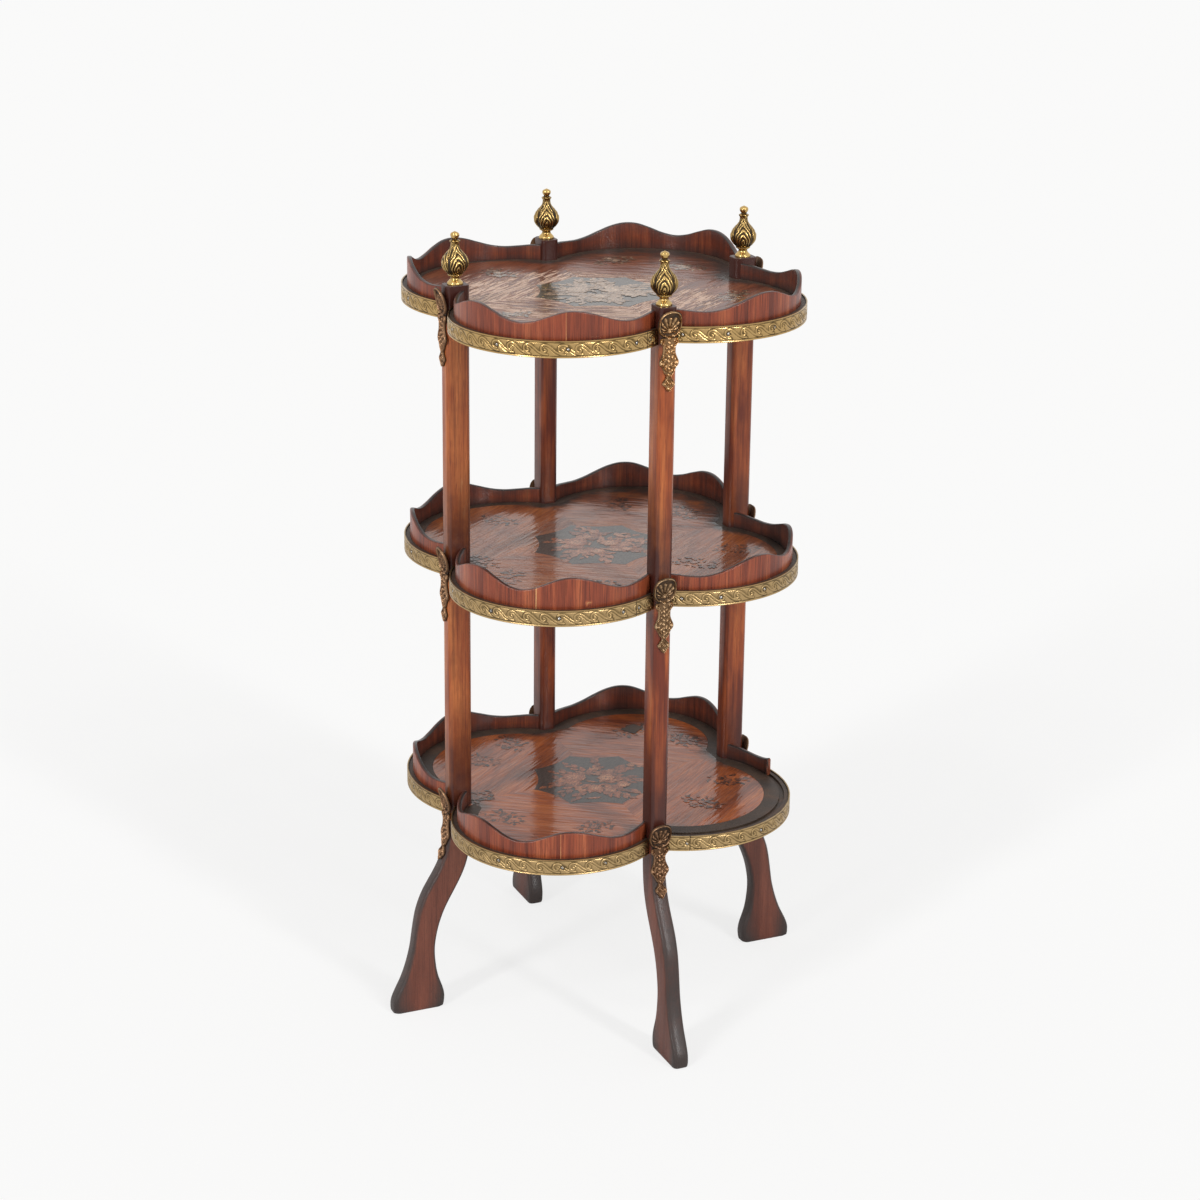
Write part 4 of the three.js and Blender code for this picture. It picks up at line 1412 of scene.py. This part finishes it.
def sprays(shelf):
    """Small sprays in the lobes: a loose heap of leaves that point every way, with a flower among them."""
    rng = np.random.default_rng(SHELVES.index(shelf) + 31)
    groups = []
    for x, y in np.array(SPRAYS[shelf]) * MM:
        lie, away = rng.uniform(0, np.pi), rng.uniform(0, 1, SPRAY_LEAVES) ** 0.6
        place = rng.uniform(0, TAU, SPRAY_LEAVES)
        long, short = 22 * MM * away * np.cos(place), 13 * MM * away * np.sin(place)
        cosine, sine = math.cos(lie), math.sin(lie)
        groups.append(Leaves(
            x + long * cosine - short * sine, y + long * sine + short * cosine,
            place + lie + rng.uniform(-1.2, 1.2, SPRAY_LEAVES), rng.uniform(3, 8, SPRAY_LEAVES) * MM,
            rng.uniform(1.5, 4.6, SPRAY_LEAVES) * MM, rng.uniform(-1, 1, SPRAY_LEAVES),
            rng.choice([0, 0.1, 0.2, 0.3, 0.5], SPRAY_LEAVES),
        ))
        groups.append(rosette(x, y, rng.uniform(5, 8) * MM, 6, 0.25, rng.uniform(0, 1)))
    return joined(groups)


# Where a piece of the lower shelf's inlay is lost and its bed shows dark, in millimetres
LOST_PATCH = [[(-25.3, 135.5), (-18.4, 156.2)], [(-7.1, 129.3), (-4.2, 151.4)]]


def make_lost_patch():
    grids = np.insert(np.array(LOST_PATCH) * MM, 2, TABLE_TOP["lower"] + 9 * INLAY_LIFT, axis=-1)
    return piece("lost_patch", grids, MARGIN, "marquetry", sheet=True)


def make_leaves(shelf, label, leaves, lift):
    grids, tint, shade = leaf_patches(leaves, TABLE_TOP[shelf] + lift)
    grids[..., 2] += (np.arange(len(grids)) % 331 * 0.0013 * MM)[:, None, None]  # no two that meet are level
    return piece(
        f"{label}_{shelf}", grids, INLAY_LEAF[shelf], "marquetry", sheet=True, tint=tint, shade=shade
    )


inlays = []
for shelf in SHELVES:
    inlays.append(make_cartouche(shelf))
    inlays.append(make_leaves(shelf, "bouquet", bouquet(shelf), 2 * INLAY_LIFT))
    inlays.append(make_leaves(shelf, "sprays", sprays(shelf), INLAY_LIFT))
inlays.append(make_lost_patch())
print(len(inlays), "inlays,", sum(len(p.data.polygons) for p in inlays), "faces")

# %% [markdown]
# ## Floor and light
#
# The piece stands on a plain white floor in a white studio. A tall strip of light stands on each side of
# the camera, made of soft lamps one above the other. Being narrow, the strips give each foot two clear
# shadows; being tall, they blur the shadows of the shelves. The white room itself does the rest: the
# world is white to the camera and in reflections, and dimmer where it lights the wood. Part of the floor's
# white is a glow that only the camera sees, which keeps the shadows as pale as in the photograph.

# %% Stage
FLOOR_HALF = 30.0
FLOOR_TONE = (0.955, 0.953, 0.948, 1)
FLOOR_GLOW = (0.975, 0.974, 0.97, 1)
FLOOR_FILL = 0.775
ROOM_LIGHT = 0.43
LAMP_POWER = 1.55
# Degrees: a lamp's width, the lamps' heights, and the angles of the two strips beside the camera
LAMP_SOFTNESS = 5.5
LAMP_HEIGHTS = [13, 20, 27, 34, 42, 52]
LEFT_STRIP, RIGHT_STRIP = -38, 41
LAMP_AWAY = 3.0


def make_floor():
    mesh = bpy.data.meshes.new("floor")
    far = FLOOR_HALF
    mesh.from_pydata([(-far, -far, 0), (far, -far, 0), (far, far, 0), (-far, far, 0)], [], [(0, 1, 2, 3)])
    finish = Finish("floor")
    finish.surface(Base_Color=FLOOR_TONE, Roughness=0.9, Specular_IOR_Level=0.0)
    glow = finish.node("Emission", {"Color": FLOOR_GLOW})
    seen = finish.times(finish.node("LightPath", output="Is Camera Ray"), FLOOR_FILL)
    both = finish.node("MixShader", {0: seen, 1: finish.shader.outputs[0], 2: glow})
    finish.set(finish.tree.nodes["Material Output"].inputs["Surface"], both)
    mesh.materials.append(finish.material)
    add_object("floor", mesh)


def make_lamp(name, sideways, height):
    """A soft far lamp, at an angle beside the camera's own direction and at a height, in degrees."""
    facing, lift = CAMERA_TURN + math.radians(sideways), math.radians(height)
    back = np.array([math.sin(facing), -math.cos(facing), 0.0]) * math.cos(lift)
    towards = back + np.array([0, 0, math.sin(lift)])
    data = bpy.data.lights.new(name, "SUN")
    data.angle = math.radians(LAMP_SOFTNESS)
    data.energy = LAMP_POWER / len(LAMP_HEIGHTS)
    right = np.cross([0, 0, 1], towards)
    right /= np.linalg.norm(right)
    up = np.cross(towards, right)
    add_object(name, data).matrix_world = placed(right, up, towards, towards * LAMP_AWAY)


def make_room():
    world = bpy.data.worlds.new("room")
    bpy.context.scene.world = world
    world.use_nodes = True
    graph = Graph(world.node_tree)
    seen = [graph.node("LightPath", output=ray) for ray in ("Is Camera Ray", "Is Glossy Ray")]
    background = graph.tree.nodes["Background"]
    graph.set(background.inputs["Color"], (1, 1, 1, 1))
    graph.set(background.inputs["Strength"], graph.span(graph.math("MAXIMUM", *seen), ROOM_LIGHT, 1.0))


make_floor()
for height in LAMP_HEIGHTS:
    make_lamp(f"left lamp {height}", LEFT_STRIP, height)
    make_lamp(f"right lamp {height}", RIGHT_STRIP, height)
make_room()
bpy.context.scene.view_settings.view_transform = "Standard"
print("stage is set")
